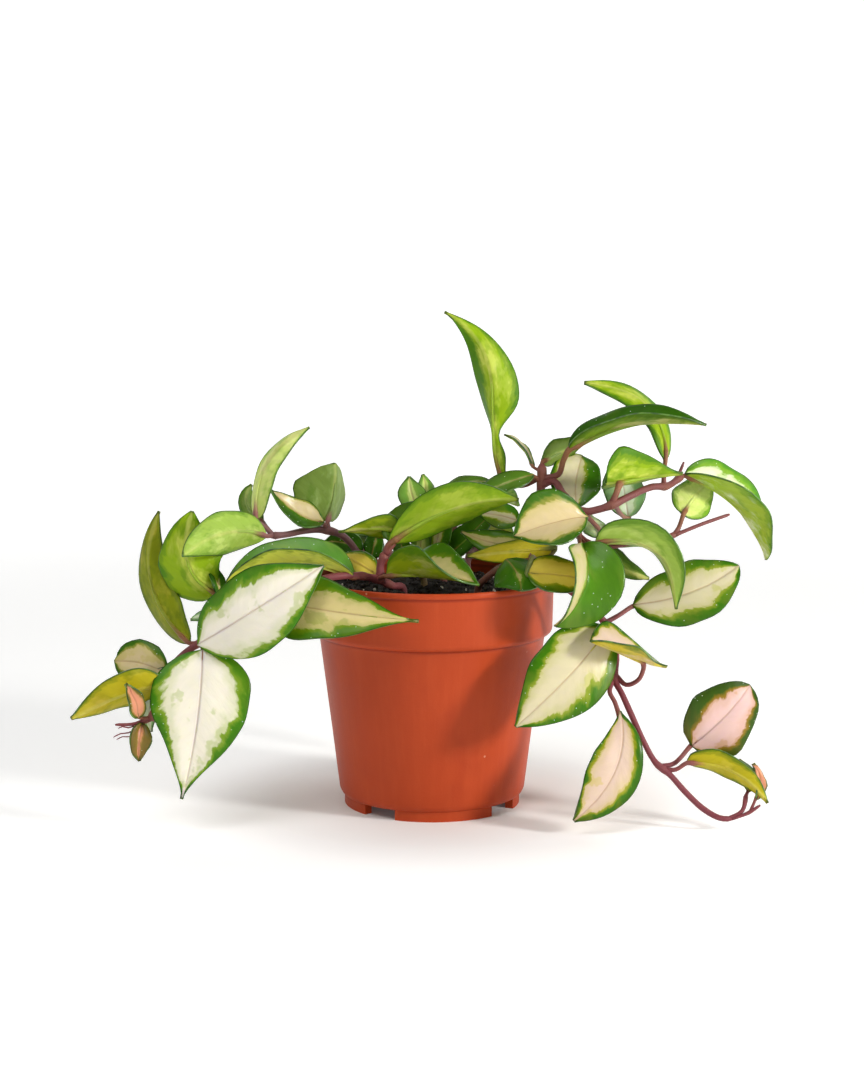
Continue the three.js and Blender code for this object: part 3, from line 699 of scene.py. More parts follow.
class Paint(Enum):
    """The kinds of leaf that the plant bears."""

    WHITE = Shades((236, 230, 214), (66, 124, 10), (168, 184, 60), (84, 130, 12))
    CREAM = Shades((210, 200, 166), (60, 114, 8), (186, 184, 62), (86, 128, 12))
    TAN = Shades((208, 190, 145), (58, 104, 10), (196, 180, 84), (90, 118, 14))
    ROSY = Shades((214, 190, 171), (60, 110, 14), (204, 184, 52), (106, 124, 14))
    PINK = Shades((224, 190, 184), (60, 88, 22), (196, 136, 46), (104, 110, 20))
    YOUNG = Shades((216, 148, 116), (108, 100, 36), (200, 146, 92), (120, 96, 40))
    DEEP = Shades((196, 188, 120), (54, 104, 6), (110, 140, 24), (66, 102, 8))
    LIME = Shades((208, 212, 96), (74, 130, 8), (140, 170, 14), (72, 122, 6))
    PALE = Shades((222, 222, 150), (84, 140, 14), (198, 214, 114), (104, 152, 26))
    GREY = Shades((160, 182, 108), (82, 122, 28), (118, 142, 62), (80, 120, 24))
    SHEEN = Shades((232, 238, 206), (84, 146, 34), (160, 186, 52), (90, 142, 24))
    FADED = Shades((214, 226, 202), (130, 172, 112), (196, 208, 164), (136, 170, 108))
    OLIVE = Shades((198, 184, 66), (84, 108, 6), (128, 138, 8), (78, 98, 4))
    YELLOW = Shades((212, 192, 78), (84, 118, 8), (180, 168, 24), (102, 122, 8))
    MEADOW = Shades((212, 196, 134), (74, 122, 12), (140, 158, 16), (78, 118, 8))
    # This paint's underside colour is painted light: far lighter than the leaf's own, to brighten
    # the arched leaf's shaded underside.
    ARCH = Shades((216, 222, 110), (104, 160, 56), (230, 238, 90), (120, 152, 20))
    GLOSSY = Shades((206, 190, 150), (88, 142, 28), (192, 190, 96), (96, 146, 24))
    CALM = Shades((178, 192, 72), (84, 134, 18), (138, 166, 28), (88, 132, 16))
    FRESH = Shades((212, 226, 132), (118, 164, 62), (160, 190, 80), (104, 146, 44))


@dataclass(frozen=True)
class Leaf:
    """One leaf; its places are in millimetres as seen from the front.

    Attributes:
        base: Where the blade starts.
        tip: Where it ends.
        path: The stalk's points, from the stem on.
        paint: Its kind of colours.
        width: The blade's width at its widest.
        face: The direction that the upper face looks in.
        bow: How far the midrib stands out of a straight line, across, up and behind.
        fold: How far each half is raised along the midrib, in degrees.
        curl: How far the margins bend back.
        twist: How far the blade turns from base to tip, in degrees.
        lean: How much of the bow lies nearer to the tip.
        rise: How the width grows from the base, where a small number is blunt.
        taper: How the width ends at the tip, in the same way.
        waist: How much narrower the blade is near its base.
        petiole: The stalk's radius.
        joint: The share of the midrib where the stalk meets it, if that isn't the base.
        cream: How far the pale centre reaches, where 1 is the margin.
        shift: How far the pale centre lies to one side.
        glow: How far the pale part of the underside reaches.
    """

    base: Triple
    tip: Triple
    path: tuple[Triple, ...]
    paint: Paint
    width: float
    face: Triple
    bow: Triple
    fold: float = 0.0
    curl: float = 0.0
    twist: float = 0.0
    lean: float = 0.0
    rise: float = 0.6
    taper: float = 0.95
    waist: float = 0.0
    petiole: float = 1.25
    joint: float = 0.0
    cream: float = 0.6
    shift: float = 0.0
    glow: float = 0.7

    @property
    def length(self) -> float:
        """The straight length from base to tip in metres."""
        return (place(self.tip) - place(self.base)).length

    @property
    def seed(self) -> float:
        """A number of its own, which sets the leaf's pattern apart."""
        return (self.base[0] * 3.7 + self.tip[2] * 1.9 + self.width) % 17.0

    def midrib(self, share: float) -> Vector:
        """The midrib's point, in metres, at a share of the way from base to tip."""
        weight = 4 * share * (1 - share) * (1 + self.lean * (2 * share - 1))
        bow = Vector((self.bow[0], self.bow[2], self.bow[1])) * MM
        return place(self.base).lerp(place(self.tip), share) + bow * weight

    def half_width(self, share: float) -> float:
        """Half the blade's width, in metres, at a share of the way from base to tip."""
        widest = self.rise / (self.rise + self.taper)
        inside = min(max(share, 0.0), 1.0)
        bulge = inside**self.rise * (1 - inside) ** self.taper
        most = widest**self.rise * (1 - widest) ** self.taper
        waist = self.waist * math.exp(-(((inside - WAIST_SHARE) / WAIST_SPAN) ** 2))
        return max(self.width / 2 * bulge / most * (1 - waist), LEAST_HALF_WIDTH) * MM

    def point(self, share: float, side: float) -> Vector:
        """A point of the blade's middle surface.

        Args:
            share: The share of the way from base to tip.
            side: From -1 to 1 across the blade.

        Returns:
            The point in metres.
        """
        ahead, behind = self.midrib(share + SLOPE_STEP), self.midrib(share - SLOPE_STEP)
        forward = (ahead - behind).normalized()
        face = Vector(self.face)
        face = (face - forward * face.dot(forward)).normalized()
        turn = math.radians(self.twist) * (share - 0.5)
        face = Matrix.Rotation(turn, 3, forward) @ face
        reach = side * self.half_width(share)
        full = abs(reach) / (self.width / 2 * MM)
        fold = math.radians(self.fold)
        along, over = RUFFLE_PHASES
        ruffle = RUFFLE * full**3 * math.sin(along * share + over * side + self.width)
        along, over = UNEVEN_SCALES
        dents = UNEVEN * noise.noise(Vector((share * along, side * over, self.seed)))
        half = math.copysign(HALF_APART, side)
        where = Vector((share * UNEVEN_WIDTH_SCALE, half, self.seed))
        reach *= 1 + UNEVEN_WIDTH * noise.noise(where)
        lift = abs(reach) * math.sin(fold) - self.curl * MM * full**2 + (ruffle + dents) * MM
        return self.midrib(share) + forward.cross(face) * reach * math.cos(fold) + face * lift

    def normal(self, share: float, side: float) -> Vector:
        """The direction that the upper face looks in at a point of the blade."""
        step = NORMAL_STEP
        near = min(max(share, step), 1 - step)
        along = self.point(near + step, side) - self.point(near - step, side)
        over = self.point(near, min(side + step, 1)) - self.point(near, max(side - step, -1))
        return over.cross(along).normalized()


@dataclass(frozen=True)
class Stem:
    """One stem; its places are in millimetres as seen from the front."""

    points: tuple[Triple, ...]
    root: tuple[float, float] | None = None
    radius: float = 1.7

    def path(self) -> list[Vector]:
        """The points of the stem in metres, from inside the soil where it has a root.

        Returns:
            The points.
        """
        points = [place(point) for point in self.points]
        if self.root is None:
            return points
        x, y = self.root
        buried = [(x, y, SOIL_TOP + rise) for rise in (-ROOT_DEPTH, -ROOT_DEPTH / 2, ROOT_TOP)]
        return [Vector(point) * MM for point in buried] + points


class Skin(Enum):
    """The material slots of a leafy stem."""

    UPPER = 0
    UNDER = 1
    RIM = 2
    BARK = 3


class Marks:
    """The attribute layers of a plant mesh."""

    def __init__(self, form: bmesh.types.BMesh) -> None:
        """Finds or makes the layers.

        Args:
            form: The mesh under construction.
        """
        vectors, colours = form.verts.layers.float_vector, form.verts.layers.float_color
        self.vectors = {name: vectors.get(name) or vectors.new(name) for name in VECTOR_MARKS}
        self.colours = {name: colours.get(name) or colours.new(name) for name in COLOUR_MARKS}

    def colour(self, vert: bmesh.types.BMVert, name: str, colour: Rgb) -> None:
        """Writes a screen colour to a vertex.

        Args:
            vert: The vertex.
            name: The layer's name.
            colour: The colour.
        """
        vert[self.colours[name]] = linear(colour)


def smooth_path(points: list[Vector], step: float) -> list[Vector]:
    """A centripetal Catmull-Rom curve.

    Args:
        points: The places that the curve goes through.
        step: The wanted distance between its points.

    Returns:
        The curve's points.
    """
    ends = [points[0] * 2 - points[1], *points, points[-1] * 2 - points[-2]]
    curve = [points[0].copy()]
    for before, start, end, after in zip(ends, ends[1:], ends[2:], ends[3:]):
        pairs = ((before, start), (start, end), (end, after))
        first, span, last = (max((b - a).length, MERGE_DISTANCE) ** 0.5 for a, b in pairs)
        leave = (start - before) / first - (end - before) / (first + span) + (end - start) / span
        arrive = (end - start) / span - (after - start) / (span + last) + (after - end) / last
        count = max(1, round((end - start).length / step))
        for number in range(1, count + 1):
            t = number / count
            point = start * (2 * t**3 - 3 * t**2 + 1) + end * (3 * t**2 - 2 * t**3)
            point += leave * span * (t**3 - 2 * t**2 + t) + arrive * span * (t**3 - t**2)
            curve.append(point)
    return curve


@dataclass
class Tube:
    """A round tube that changes its radius and tone along its path."""

    path: list[Vector]
    radii: list[float]
    tones: list[Rgb]
    sides: int = 8
    first_spoke: Triple = (0.31, 0.47, 0.83)

    def build(self) -> bmesh.types.BMesh:
        """Extrudes a capped circle along the path.

        Returns:
            The closed tube.
        """
        form = bmesh.new()
        marks = Marks(form)
        corner = form.verts.layers.int.new("corner")
        made = bmesh.ops.create_circle(form, cap_ends=True, segments=self.sides, radius=1.0)
        ring = made["verts"]
        for number, vert in enumerate(ring):
            vert[corner] = number
        cap = ring[0].link_faces[0]
        face = Vector(self.first_spoke)
        for number, centre in enumerate(self.path):
            if number:
                made = bmesh.ops.extrude_face_region(form, geom=[cap])["geom"]
                ring = [item for item in made if isinstance(item, bmesh.types.BMVert)]
                cap = next(item for item in made if isinstance(item, bmesh.types.BMFace))
            ahead = self.path[min(number + 1, len(self.path) - 1)]
            along = (ahead - self.path[max(number - 1, 0)]).normalized()
            face = (face - along * face.dot(along)).normalized()
            across = along.cross(face)
            for vert in ring:
                turn = FULL_TURN * vert[corner] / self.sides
                spoke = face * math.cos(turn) + across * math.sin(turn)
                vert.co = centre + spoke * self.radii[number]
                marks.colour(vert, "tone", self.tones[number])
        bmesh.ops.recalc_face_normals(form, faces=form.faces)
        for item in form.faces:
            item.material_index = Skin.BARK.value
        return form


@dataclass
class Blade:
    """The fine mesh of one leaf's blade; lengths in millimetres."""

    leaf: Leaf
    row_step: float = 2.3
    column_step: float = 1.9
    fewest_rows: int = 12
    fewest_columns: int = 6
    margin_crowding: float = 0.4
    midrib_thickness: float = 1.25
    margin_thickness: float = 0.75

    def build(self) -> bmesh.types.BMesh:
        """Makes both skins and the rim.

        Returns:
            The closed blade.
        """
        leaf = self.leaf
        rows = max(self.fewest_rows, round(leaf.length / MM / self.row_step))
        columns = max(self.fewest_columns, 2 * round(leaf.width / self.column_step / 2))
        form = bmesh.new()
        marks = Marks(form)
        shape = marks.vectors["shape"]
        bmesh.ops.create_grid(form, x_segments=columns, y_segments=rows, size=1.0)
        for vert in form.verts:
            even = (vert.co.y + 1) / 2
            share = (even + (1 - math.cos(math.pi * even)) / 2) / 2
            crowded = math.sin(math.pi / 2 * vert.co.x)
            side = vert.co.x + (crowded - vert.co.x) * self.margin_crowding
            vert[shape] = (side, share, 0.0)
        made = bmesh.ops.extrude_face_region(form, geom=form.faces[:], use_keep_orig=True)["geom"]
        lower = {item for item in made if isinstance(item, bmesh.types.BMVert)}
        for vert in form.verts:
            self._set(vert, marks, -1 if vert in lower else 1)
        for item in form.faces:
            under = sum(vert in lower for vert in item.verts)
            kinds = {0: Skin.UPPER, len(item.verts): Skin.UNDER}
            item.material_index = kinds.get(under, Skin.RIM).value
        bmesh.ops.recalc_face_normals(form, faces=form.faces)
        return form

    def _set(self, vert: bmesh.types.BMVert, marks: Marks, way: int) -> None:
        """Puts a vertex in its place and marks it.

        Args:
            vert: The vertex, whose shape mark is set.
            marks: The layers.
            way: 1 for the upper skin and -1 for the lower one.
        """
        leaf = self.leaf
        side, share, _ = vert[marks.vectors["shape"]]
        half = leaf.half_width(share) / MM
        thinning = (self.midrib_thickness - self.margin_thickness) * abs(side) ** 3
        thick = self.midrib_thickness - thinning
        vert.co = leaf.point(share, side) + leaf.normal(share, side) * (way * thick / 2 * MM)
        tip_gap = (1 - share) * leaf.length / MM
        vert[marks.vectors["shape"]] = (side, share, min((1 - abs(side)) * half, tip_gap))
        vert[marks.vectors["spot"]] = (side * half, share * leaf.length / MM, leaf.seed)
        vert[marks.vectors["look"]] = (leaf.cream, leaf.shift, leaf.glow)
        for name, colour in vars(leaf.paint.value).items():
            marks.colour(vert, name, colour)


@dataclass(frozen=True)
class LeafyStem:
    """Stems with their leaves, which stand for one CAD node.

    Steps and swelling_reach are in millimetres, and a girth is a share of the radius.
    """

    node: str
    bark: Rgb
    stalk: Rgb
    stems: tuple[Stem, ...]
    leaves: tuple[Leaf, ...]
    stem_step: float = 1.8
    stalk_step: float = 1.4
    rib_step: float = 3.0
    fewest_rib_steps: int = 6
    rib_start: float = 0.06
    rib_end: float = 0.72
    rib_sunk: float = 0.28
    swelling: float = 0.32
    swelling_reach: float = 2.4
    unevenness: float = 0.08
    root_girth: float = 1.05
    top_girth: float = 0.93
    end_girth: float = 0.6
    stalk_girth: float = 0.86
    stalk_flare: float = 0.24
    rib_girth: float = 0.92
    rib_narrowing: float = 0.74
    stem_sides: int = 10

    def build(self) -> bpy.types.Object:
        """Builds the whole leafy stem as one piece.

        Returns:
            The piece.
        """
        form = bmesh.new()
        Marks(form)
        for stem in self.stems:
            self._join(form, self._stem_tube(stem).build())
        for leaf in self.leaves:
            self._join(form, Blade(leaf).build())
            self._join(form, self._stalk_tube(leaf).build())
        piece = piece_of(self.node.replace("_stem", "_leaves"), form, FOLIAGE.skins())
        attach(piece, "root")
        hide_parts(self.node)
        log.info("%s: %d leaves, %d faces", piece.name, len(self.leaves), len(piece.data.polygons))
        return piece

    @staticmethod
    def _join(form: bmesh.types.BMesh, part: bmesh.types.BMesh) -> None:
        """Moves a part's mesh into the whole.

        Args:
            form: The whole.
            part: The part, which is freed.
        """
        carrier = bpy.data.meshes.new("carrier")
        part.to_mesh(carrier)
        part.free()
        form.from_mesh(carrier)
        bpy.data.meshes.remove(carrier)

    def _stem_tube(self, stem: Stem) -> Tube:
        """A stem with a swelling at each joint.

        Args:
            stem: The stem.

        Returns:
            The tube.
        """
        path = smooth_path(stem.path(), self.stem_step * MM)
        joints = [place(leaf.path[0]) for leaf in self.leaves]
        radii, tones = [], []
        for number, point in enumerate(path):
            share = number / (len(path) - 1)
            near = min((point - joint).length for joint in joints) / MM
            swell = 1 + self.swelling * math.exp(-((near / self.swelling_reach) ** 2))
            uneven = 1 + self.unevenness * noise.noise(point * 90)
            slim = self.root_girth + (self.top_girth - self.root_girth) * share
            radii.append(stem.radius * MM * swell * uneven * slim)
            tones.append(mixed(self.bark, self.stalk, 0.35 * (swell - 1) / self.swelling))
        radii[-1] *= self.end_girth
        return Tube(path, radii, tones, self.stem_sides)

    def _stalk_tube(self, leaf: Leaf) -> Tube:
        """A leaf's stalk, which runs on under the blade as its midrib.

        Args:
            leaf: The leaf.

        Returns:
            The tube.
        """
        joint = leaf.joint or self.rib_start
        points = [place(point) for point in leaf.path]
        radius = leaf.petiole * MM
        sunk = self.rib_sunk * MM
        if not leaf.joint:
            points.append(place(leaf.base) - leaf.normal(0.02, 0.0) * (radius * 0.6))
        below = radius * self.rib_girth - sunk
        points.append(leaf.midrib(joint) - leaf.normal(joint, 0.0) * below)
        stalk = smooth_path(points, self.stalk_step * MM)
        radii, tones = [], []
        for number in range(len(stalk)):
            share = number / (len(stalk) - 1)
            flare = self.stalk_flare * (2 * share - 1) ** 2
            radii.append(radius * (self.stalk_girth + flare))
            tones.append(mixed(self.bark, self.stalk, min(1, 1.4 * number / len(stalk))))
        rib_steps = max(self.fewest_rib_steps, round(leaf.length / MM / self.rib_step))
        for number in range(1, rib_steps + 1):
            way = number / rib_steps
            share = joint + (self.rib_end - joint) * way
            size = radius * (self.rib_girth - self.rib_narrowing * way**0.7)
            radii.append(size)
            stalk.append(leaf.midrib(share) - leaf.normal(share, 0.0) * (size - sunk))
            tones.append(mixed(self.stalk, leaf.paint.value.under, min(1, way * 5)))
        return Tube(stalk, radii, tones)


def piece_of(
    name: str, form: bmesh.types.BMesh, materials: list[bpy.types.Material], smooth: bool = True
) -> bpy.types.Object:
    """Turns a finished mesh into an object of the scene.

    Args:
        name: The piece's name.
        form: The mesh, which is freed.
        materials: The materials by slot.
        smooth: Whether its faces are shaded smoothly, apart from very sharp edges.

    Returns:
        The object.
    """
    mesh = bpy.data.meshes.new(name)
    form.to_mesh(mesh)
    form.free()
    for material in materials:
        mesh.materials.append(material)
    if smooth:
        mesh.shade_smooth()
        mesh.set_sharp_from_angle(angle=math.radians(SHARP_DEGREES))
    piece = bpy.data.objects.new(name, mesh)
    bpy.context.scene.collection.objects.link(piece)
    return piece


def turned(
    section: list[tuple[float, float]], steps: int, start_degrees: float = 0.0
) -> bmesh.types.BMesh:
    """Turns a section once round the upright axis.

    Args:
        section: Radius and height of each corner in millimetres, from axis to axis.
        steps: How many steps the turn has.
        start_degrees: Where the first step starts.

    Returns:
        The closed form.
    """
    form = bmesh.new()
    verts = [form.verts.new((radius * MM, 0, z * MM)) for radius, z in section]
    edges = [form.edges.new(pair) for pair in zip(verts, verts[1:])]
    start = Matrix.Rotation(math.radians(start_degrees), 3, "Z")
    bmesh.ops.rotate(form, verts=verts, cent=(0, 0, 0), matrix=start)
    bmesh.ops.spin(
        form, geom=verts + edges, cent=(0, 0, 0), axis=(0, 0, 1), angle=FULL_TURN,
        steps=steps, use_merge=True,
    )
    bmesh.ops.remove_doubles(form, verts=form.verts, dist=MERGE_DISTANCE)
    bmesh.ops.recalc_face_normals(form, faces=form.faces)
    return form


@dataclass
class Foliage:
    """The materials that all leafy stems share."""

    made: list[bpy.types.Material] = field(default_factory=list)

    def skins(self) -> list[bpy.types.Material]:
        """The four materials in the order of Skin, built once.

        Returns:
            The materials.
        """
        if not self.made:
            kinds = (LeafUpperSkin(), LeafUnderSkin(), LeafRimSkin(), StemBark())
            self.made.extend(kind.material() for kind in kinds)
        return self.made


FOLIAGE = Foliage()


@dataclass(frozen=True)
class NurseryPot:
    """The moulded pot; sizes in millimetres."""

    height: float = 112.0
    rim_radius: float = 60.0
    wall: float = 1.4
    foot_height: float = 5.0
    floor_top: float = 6.6
    foot_inner: float = 38.9
    foot_outer: float = 42.9
    foot_count: int = 4
    foot_steps: int = 33
    drain_inner: float = 31.0
    drain_outer: float = 40.0
    drain_steps: int = 8
    first_drain_degrees: float = -44.3
    segments: int = 180

    def build(self) -> bpy.types.Object:
        """Turns the wall and floor, opens the drains and draws the feet down.

        Returns:
            The pot.
        """
        form = turned(self._profile(), self.segments, self.first_drain_degrees)
        for number in range(self.foot_count):
            self._open_drain(form, number)
        self._draw_feet(form)
        bmesh.ops.recalc_face_normals(form, faces=form.faces)
        pot = piece_of("pot_shell", form, [TerracottaPlastic().material()])
        pot.data.set_sharp_from_angle(angle=math.radians(POT_SHARP_DEGREES))
        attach(pot, "root")
        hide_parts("pot")
        log.info("%s: %d faces", pot.name, len(pot.data.polygons))
        return pot

    def _profile(self) -> list[tuple[float, float]]:
        """The section from the floor's underside round the rim to the floor's top.

        Returns:
            Radius and height of each corner.
        """
        wall = self.wall
        base = self.foot_height
        return [
            (0, base), (self.drain_inner, base), (self.foot_inner, base),
            (self.drain_outer, base), (self.foot_outer, base), (43.6, 5.15), (44.3, 5.9),
            (45.0, 7.2), (45.3, 8), (46.2, 15), (48.8, 36), (52, 61), (54.6, 81.2), (55, 83.3),
            (55.3, 83.9), (56.3, 84.35), (57.4, 84.9), (58.1, 85.6), (58.5, 86.4), (58.62, 87.2),
            (58.85, 97), (59.15, 108.5), (59.3, 109), (59.75, 109.35), (59.97, 109.8),
            (self.rim_radius, 110.5), (59.93, 111.3), (59.65, 111.8), (59.2, self.height),
            (58.6, 111.95), (58.1, 111.7), (57.9, 111.2),
            (59.2 - wall, 108), (58.5 - wall, 88.1), (55 - wall, 84), (45.3 - wall, 8),
            (42.6, 6.8), (41.6, self.floor_top), (self.drain_outer, self.floor_top),
            (self.drain_inner, self.floor_top), (0, self.floor_top),
        ]

    def _seat(self, item: bmesh.types.BMFace) -> Triple:
        """Where a face lies.

        Args:
            item: The face.

        Returns:
            Its radius and height, and its angle past the first drain's start in segments.
        """
        middle = item.calc_center_median()
        degrees = math.degrees(math.atan2(middle.y, middle.x)) - self.first_drain_degrees
        radius = math.hypot(middle.x, middle.y) / MM
        return (radius, middle.z / MM, degrees % 360 / 360 * self.segments)

    def _open_drain(self, form: bmesh.types.BMesh, number: int) -> None:
        """Takes one drain out of the floor and walls its sides.

        Args:
            form: The pot's mesh.
            number: Which drain it is.
        """
        start = number * self.segments / self.foot_count
        taken = []
        for item in form.faces:
            radius, height, bearing = self._seat(item)
            inside = self.drain_inner < radius < self.drain_outer
            low = height < self.floor_top + 0.1
            if low and inside and 0 < bearing - start < self.drain_steps:
                taken.append(item)
        gone = set(taken)
        edges = {edge for item in taken for edge in item.edges}
        rim = [edge for edge in edges if not all(item in gone for item in edge.link_faces)]
        bmesh.ops.delete(form, geom=taken, context="FACES")
        bmesh.ops.bridge_loops(form, edges=[edge for edge in rim if edge.is_valid])

    def _draw_feet(self, form: bmesh.types.BMesh) -> None:
        """Extrudes the feet from the floor's underside.

        Args:
            form: The pot's mesh.
        """
        turn = self.segments / self.foot_count
        lead = (turn - self.drain_steps - self.foot_steps) / 2 + self.drain_steps
        chosen = []
        for item in form.faces:
            radius, height, bearing = self._seat(item)
            inside = self.foot_inner < radius < self.foot_outer
            flat = abs(height - self.foot_height) < 0.01
            if flat and inside and 0 < bearing % turn - lead < self.foot_steps:
                chosen.append(item)
        made = bmesh.ops.extrude_face_region(form, geom=chosen)["geom"]
        moved = [item for item in made if isinstance(item, bmesh.types.BMVert)]
        bmesh.ops.translate(form, verts=moved, vec=(0, 0, -self.foot_height * MM))


@dataclass(frozen=True)
class PeatBed:
    """The soil with its crumbs and perlite; sizes in millimetres."""

    edge_radius: float = 57.2
    bottom: float = 6.9
    segments: int = 120
    ring_step: float = 1.9
    crumbs: int = 620
    crumb_sizes: tuple[float, float] = (0.7, 1.9)
    grains: int = 26
    grain_sizes: tuple[float, float] = (0.5, 1.3)
    seed: int = 11

    def build(self) -> list[bpy.types.Object]:
        """Builds the bed, its crumbs and its grains.

        Returns:
            The three pieces.
        """
        rng = random.Random(self.seed)
        bed = self._bed()
        dry_peat = Peat(light=(78, 58, 42))
        crumbs = self._scatter("peat_crumbs", rng, self.crumbs, self.crumb_sizes, dry_peat)
        grains = self._scatter("perlite_grains", rng, self.grains, self.grain_sizes, Perlite())
        for piece in (bed, crumbs, grains):
            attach(piece, "root")
            log.info("%s: %d faces", piece.name, len(piece.data.polygons))
        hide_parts("soil")
        return [bed, crumbs, grains]

    @staticmethod
    def height(x: float, y: float) -> float:
        """The soil's height in millimetres at a place on it."""
        swell = 0.9 * (math.sin(x / 7 + 1) * math.cos(y / 8) + math.sin((x + y) / 5) / 2)
        lumps = noise.noise(Vector((x, y, 3.0)) * 0.22) * 1.1
        lumps += noise.noise(Vector((x, y, 8.0)) * 0.6) * 0.7
        return SOIL_TOP + swell + lumps

    def _bed(self) -> bpy.types.Object:
        """The plug of soil.

        Returns:
            The piece.
        """
        count = round(self.edge_radius / self.ring_step)
        section = [(self.edge_radius * n / count, SOIL_TOP) for n in range(count + 1)]
        section += [(56.6, 100), (56.2, 88.8), (53.0, 84.2), (43.4, 8.6)]
        section += [(41.2, self.bottom), (0, self.bottom)]
        form = turned(section, self.segments)
        for vert in form.verts:
            if vert.co.z > (SOIL_TOP - 1) * MM:
                vert.co.z = self.height(vert.co.x / MM, vert.co.y / MM) * MM
        return piece_of("peat_bed", form, [Peat().material()])

    def _scatter(
        self,
        name: str,
        rng: random.Random,
        count: int,
        sizes: tuple[float, float],
        finish: Peat | Perlite,
    ) -> bpy.types.Object:
        """Strews small lumps over the bed.

        Args:
            name: The piece's name.
            rng: The random source.
            count: How many lumps.
            sizes: The least and the largest radius.
            finish: What they are made of.

        Returns:
            The piece.
        """
        form = bmesh.new()
        for _ in range(count):
            radius = (self.edge_radius - 2.5) * math.sqrt(rng.random())
            bearing = rng.uniform(0, FULL_TURN)
            size = rng.uniform(*sizes)
            x, y = radius * math.cos(bearing), radius * math.sin(bearing)
            middle = Vector((x, y, self.height(x, y) + size * 0.25)) * MM
            turn = Matrix.Rotation(rng.uniform(0, math.pi), 4, (rng.random(), rng.random(), 0.3))
            squash = (rng.uniform(0.7, 1.3), rng.uniform(0.6, 1.1), rng.uniform(0.5, 0.9), 1)
            where = Matrix.Translation(middle) @ turn @ Matrix.Diagonal(squash)
            bmesh.ops.create_icosphere(form, subdivisions=1, radius=size * MM, matrix=where)
        return piece_of(name, form, [finish.material()], smooth=False)


def aimed(name: str, data: bpy.types.ID, where: Triple, target: Triple) -> bpy.types.Object:
    """Sets a lamp or camera up so that it looks at a point.

    Args:
        name: The object's name.
        data: The lamp or camera.
        where: Its place in metres.
        target: The point that it looks at.

    Returns:
        The object.
    """
    holder = bpy.data.objects.new(name, data)
    holder.location = where
    sight = Vector(target) - Vector(where)
    holder.rotation_euler = sight.to_track_quat("-Z", "Y").to_euler()
    bpy.context.scene.collection.objects.link(holder)
    return holder


@dataclass(frozen=True)
class Lamp:
    """A soft square lamp; its place and side are in metres, its power in watts."""

    name: str
    where: Triple
    side: float
    power: float
    colour: Triple
    target: Triple = (0.0, 0.0, 0.12)

    def build(self) -> None:
        """Hangs the lamp so that it looks at the plant."""
        lamp = bpy.data.lights.new(self.name, "AREA")
        lamp.size = self.side
        lamp.energy = self.power
        lamp.color = self.colour
        aimed(self.name, lamp, self.where, self.target)


@dataclass(frozen=True)
class Studio:
    """The floor, the light and the camera."""

    eye: Triple = (0.0, -EYE_DISTANCE * MM, EYE_HEIGHT * MM)
    aim: Triple = (0.0, 0.0, 0.129)
    lens: float = 70.0
    lamps: tuple[Lamp, ...] = (
        Lamp("right_light", (1.05, -0.55, 0.5), 0.2, 12.4, (1.0, 0.985, 0.96)),
        Lamp("top_light", (-0.45, -0.75, 1.3), 0.7, 8.0, (1.0, 0.99, 0.98)),
    )

    def build(self) -> None:
        """Sets the stage."""
        self._paper()
        self._world()
        for lamp in self.lamps:
            lamp.build()
        self._camera()
        scene = bpy.context.scene
        scene.view_settings.view_transform = "Standard"
        scene.view_settings.look = "None"

    @staticmethod
    def _paper() -> None:
        """Lays a sheet that sweeps up behind the plant."""
        form = bmesh.new()
        bmesh.ops.create_grid(form, x_segments=1, y_segments=1, size=4.0)
        bmesh.ops.translate(form, verts=form.verts, vec=(0, -1.4, 0))
        back = [edge for edge in form.edges if all(vert.co.y > 2 for vert in edge.verts)]
        made = bmesh.ops.extrude_edge_only(form, edges=back)["geom"]
        raised = [item for item in made if isinstance(item, bmesh.types.BMVert)]
        bmesh.ops.translate(form, verts=raised, vec=(0, 0, 6))
        bmesh.ops.bevel(
            form, geom=back, offset=1.6, segments=16, profile=0.5, affect="EDGES", material=-1
        )
        piece_of("studio_paper", form, [StudioPaper().material()])

    @staticmethod
    def _world() -> None:
        """Lights the room in white, brightest in a low band all round."""
        world = bpy.data.worlds.new("studio_light")
        world.use_nodes = True
        tree = world.node_tree
        shader = tree.nodes["Background"]
        shader.inputs["Color"].default_value = (1.0, 1.0, 1.0, 1.0)
        direction = tree.nodes.new("ShaderNodeSeparateXYZ")
        band = tree.nodes.new("ShaderNodeMapRange")
        band.interpolation_type = "SMOOTHSTEP"
        for name, value in WORLD_BAND.items():
            band.inputs[name].default_value = value
        sky = tree.nodes.new("ShaderNodeTexCoord")
        tree.links.new(sky.outputs["Generated"], direction.inputs[0])
        tree.links.new(direction.outputs["Z"], band.inputs["Value"])
        tree.links.new(band.outputs[0], shader.inputs["Strength"])
        bpy.context.scene.world = world

    def _camera(self) -> None:
        """Puts the camera where the photograph was taken from."""
        camera = bpy.data.cameras.new("camera")
        camera.lens = self.lens
        bpy.context.scene.camera = aimed("camera", camera, self.eye, self.aim)


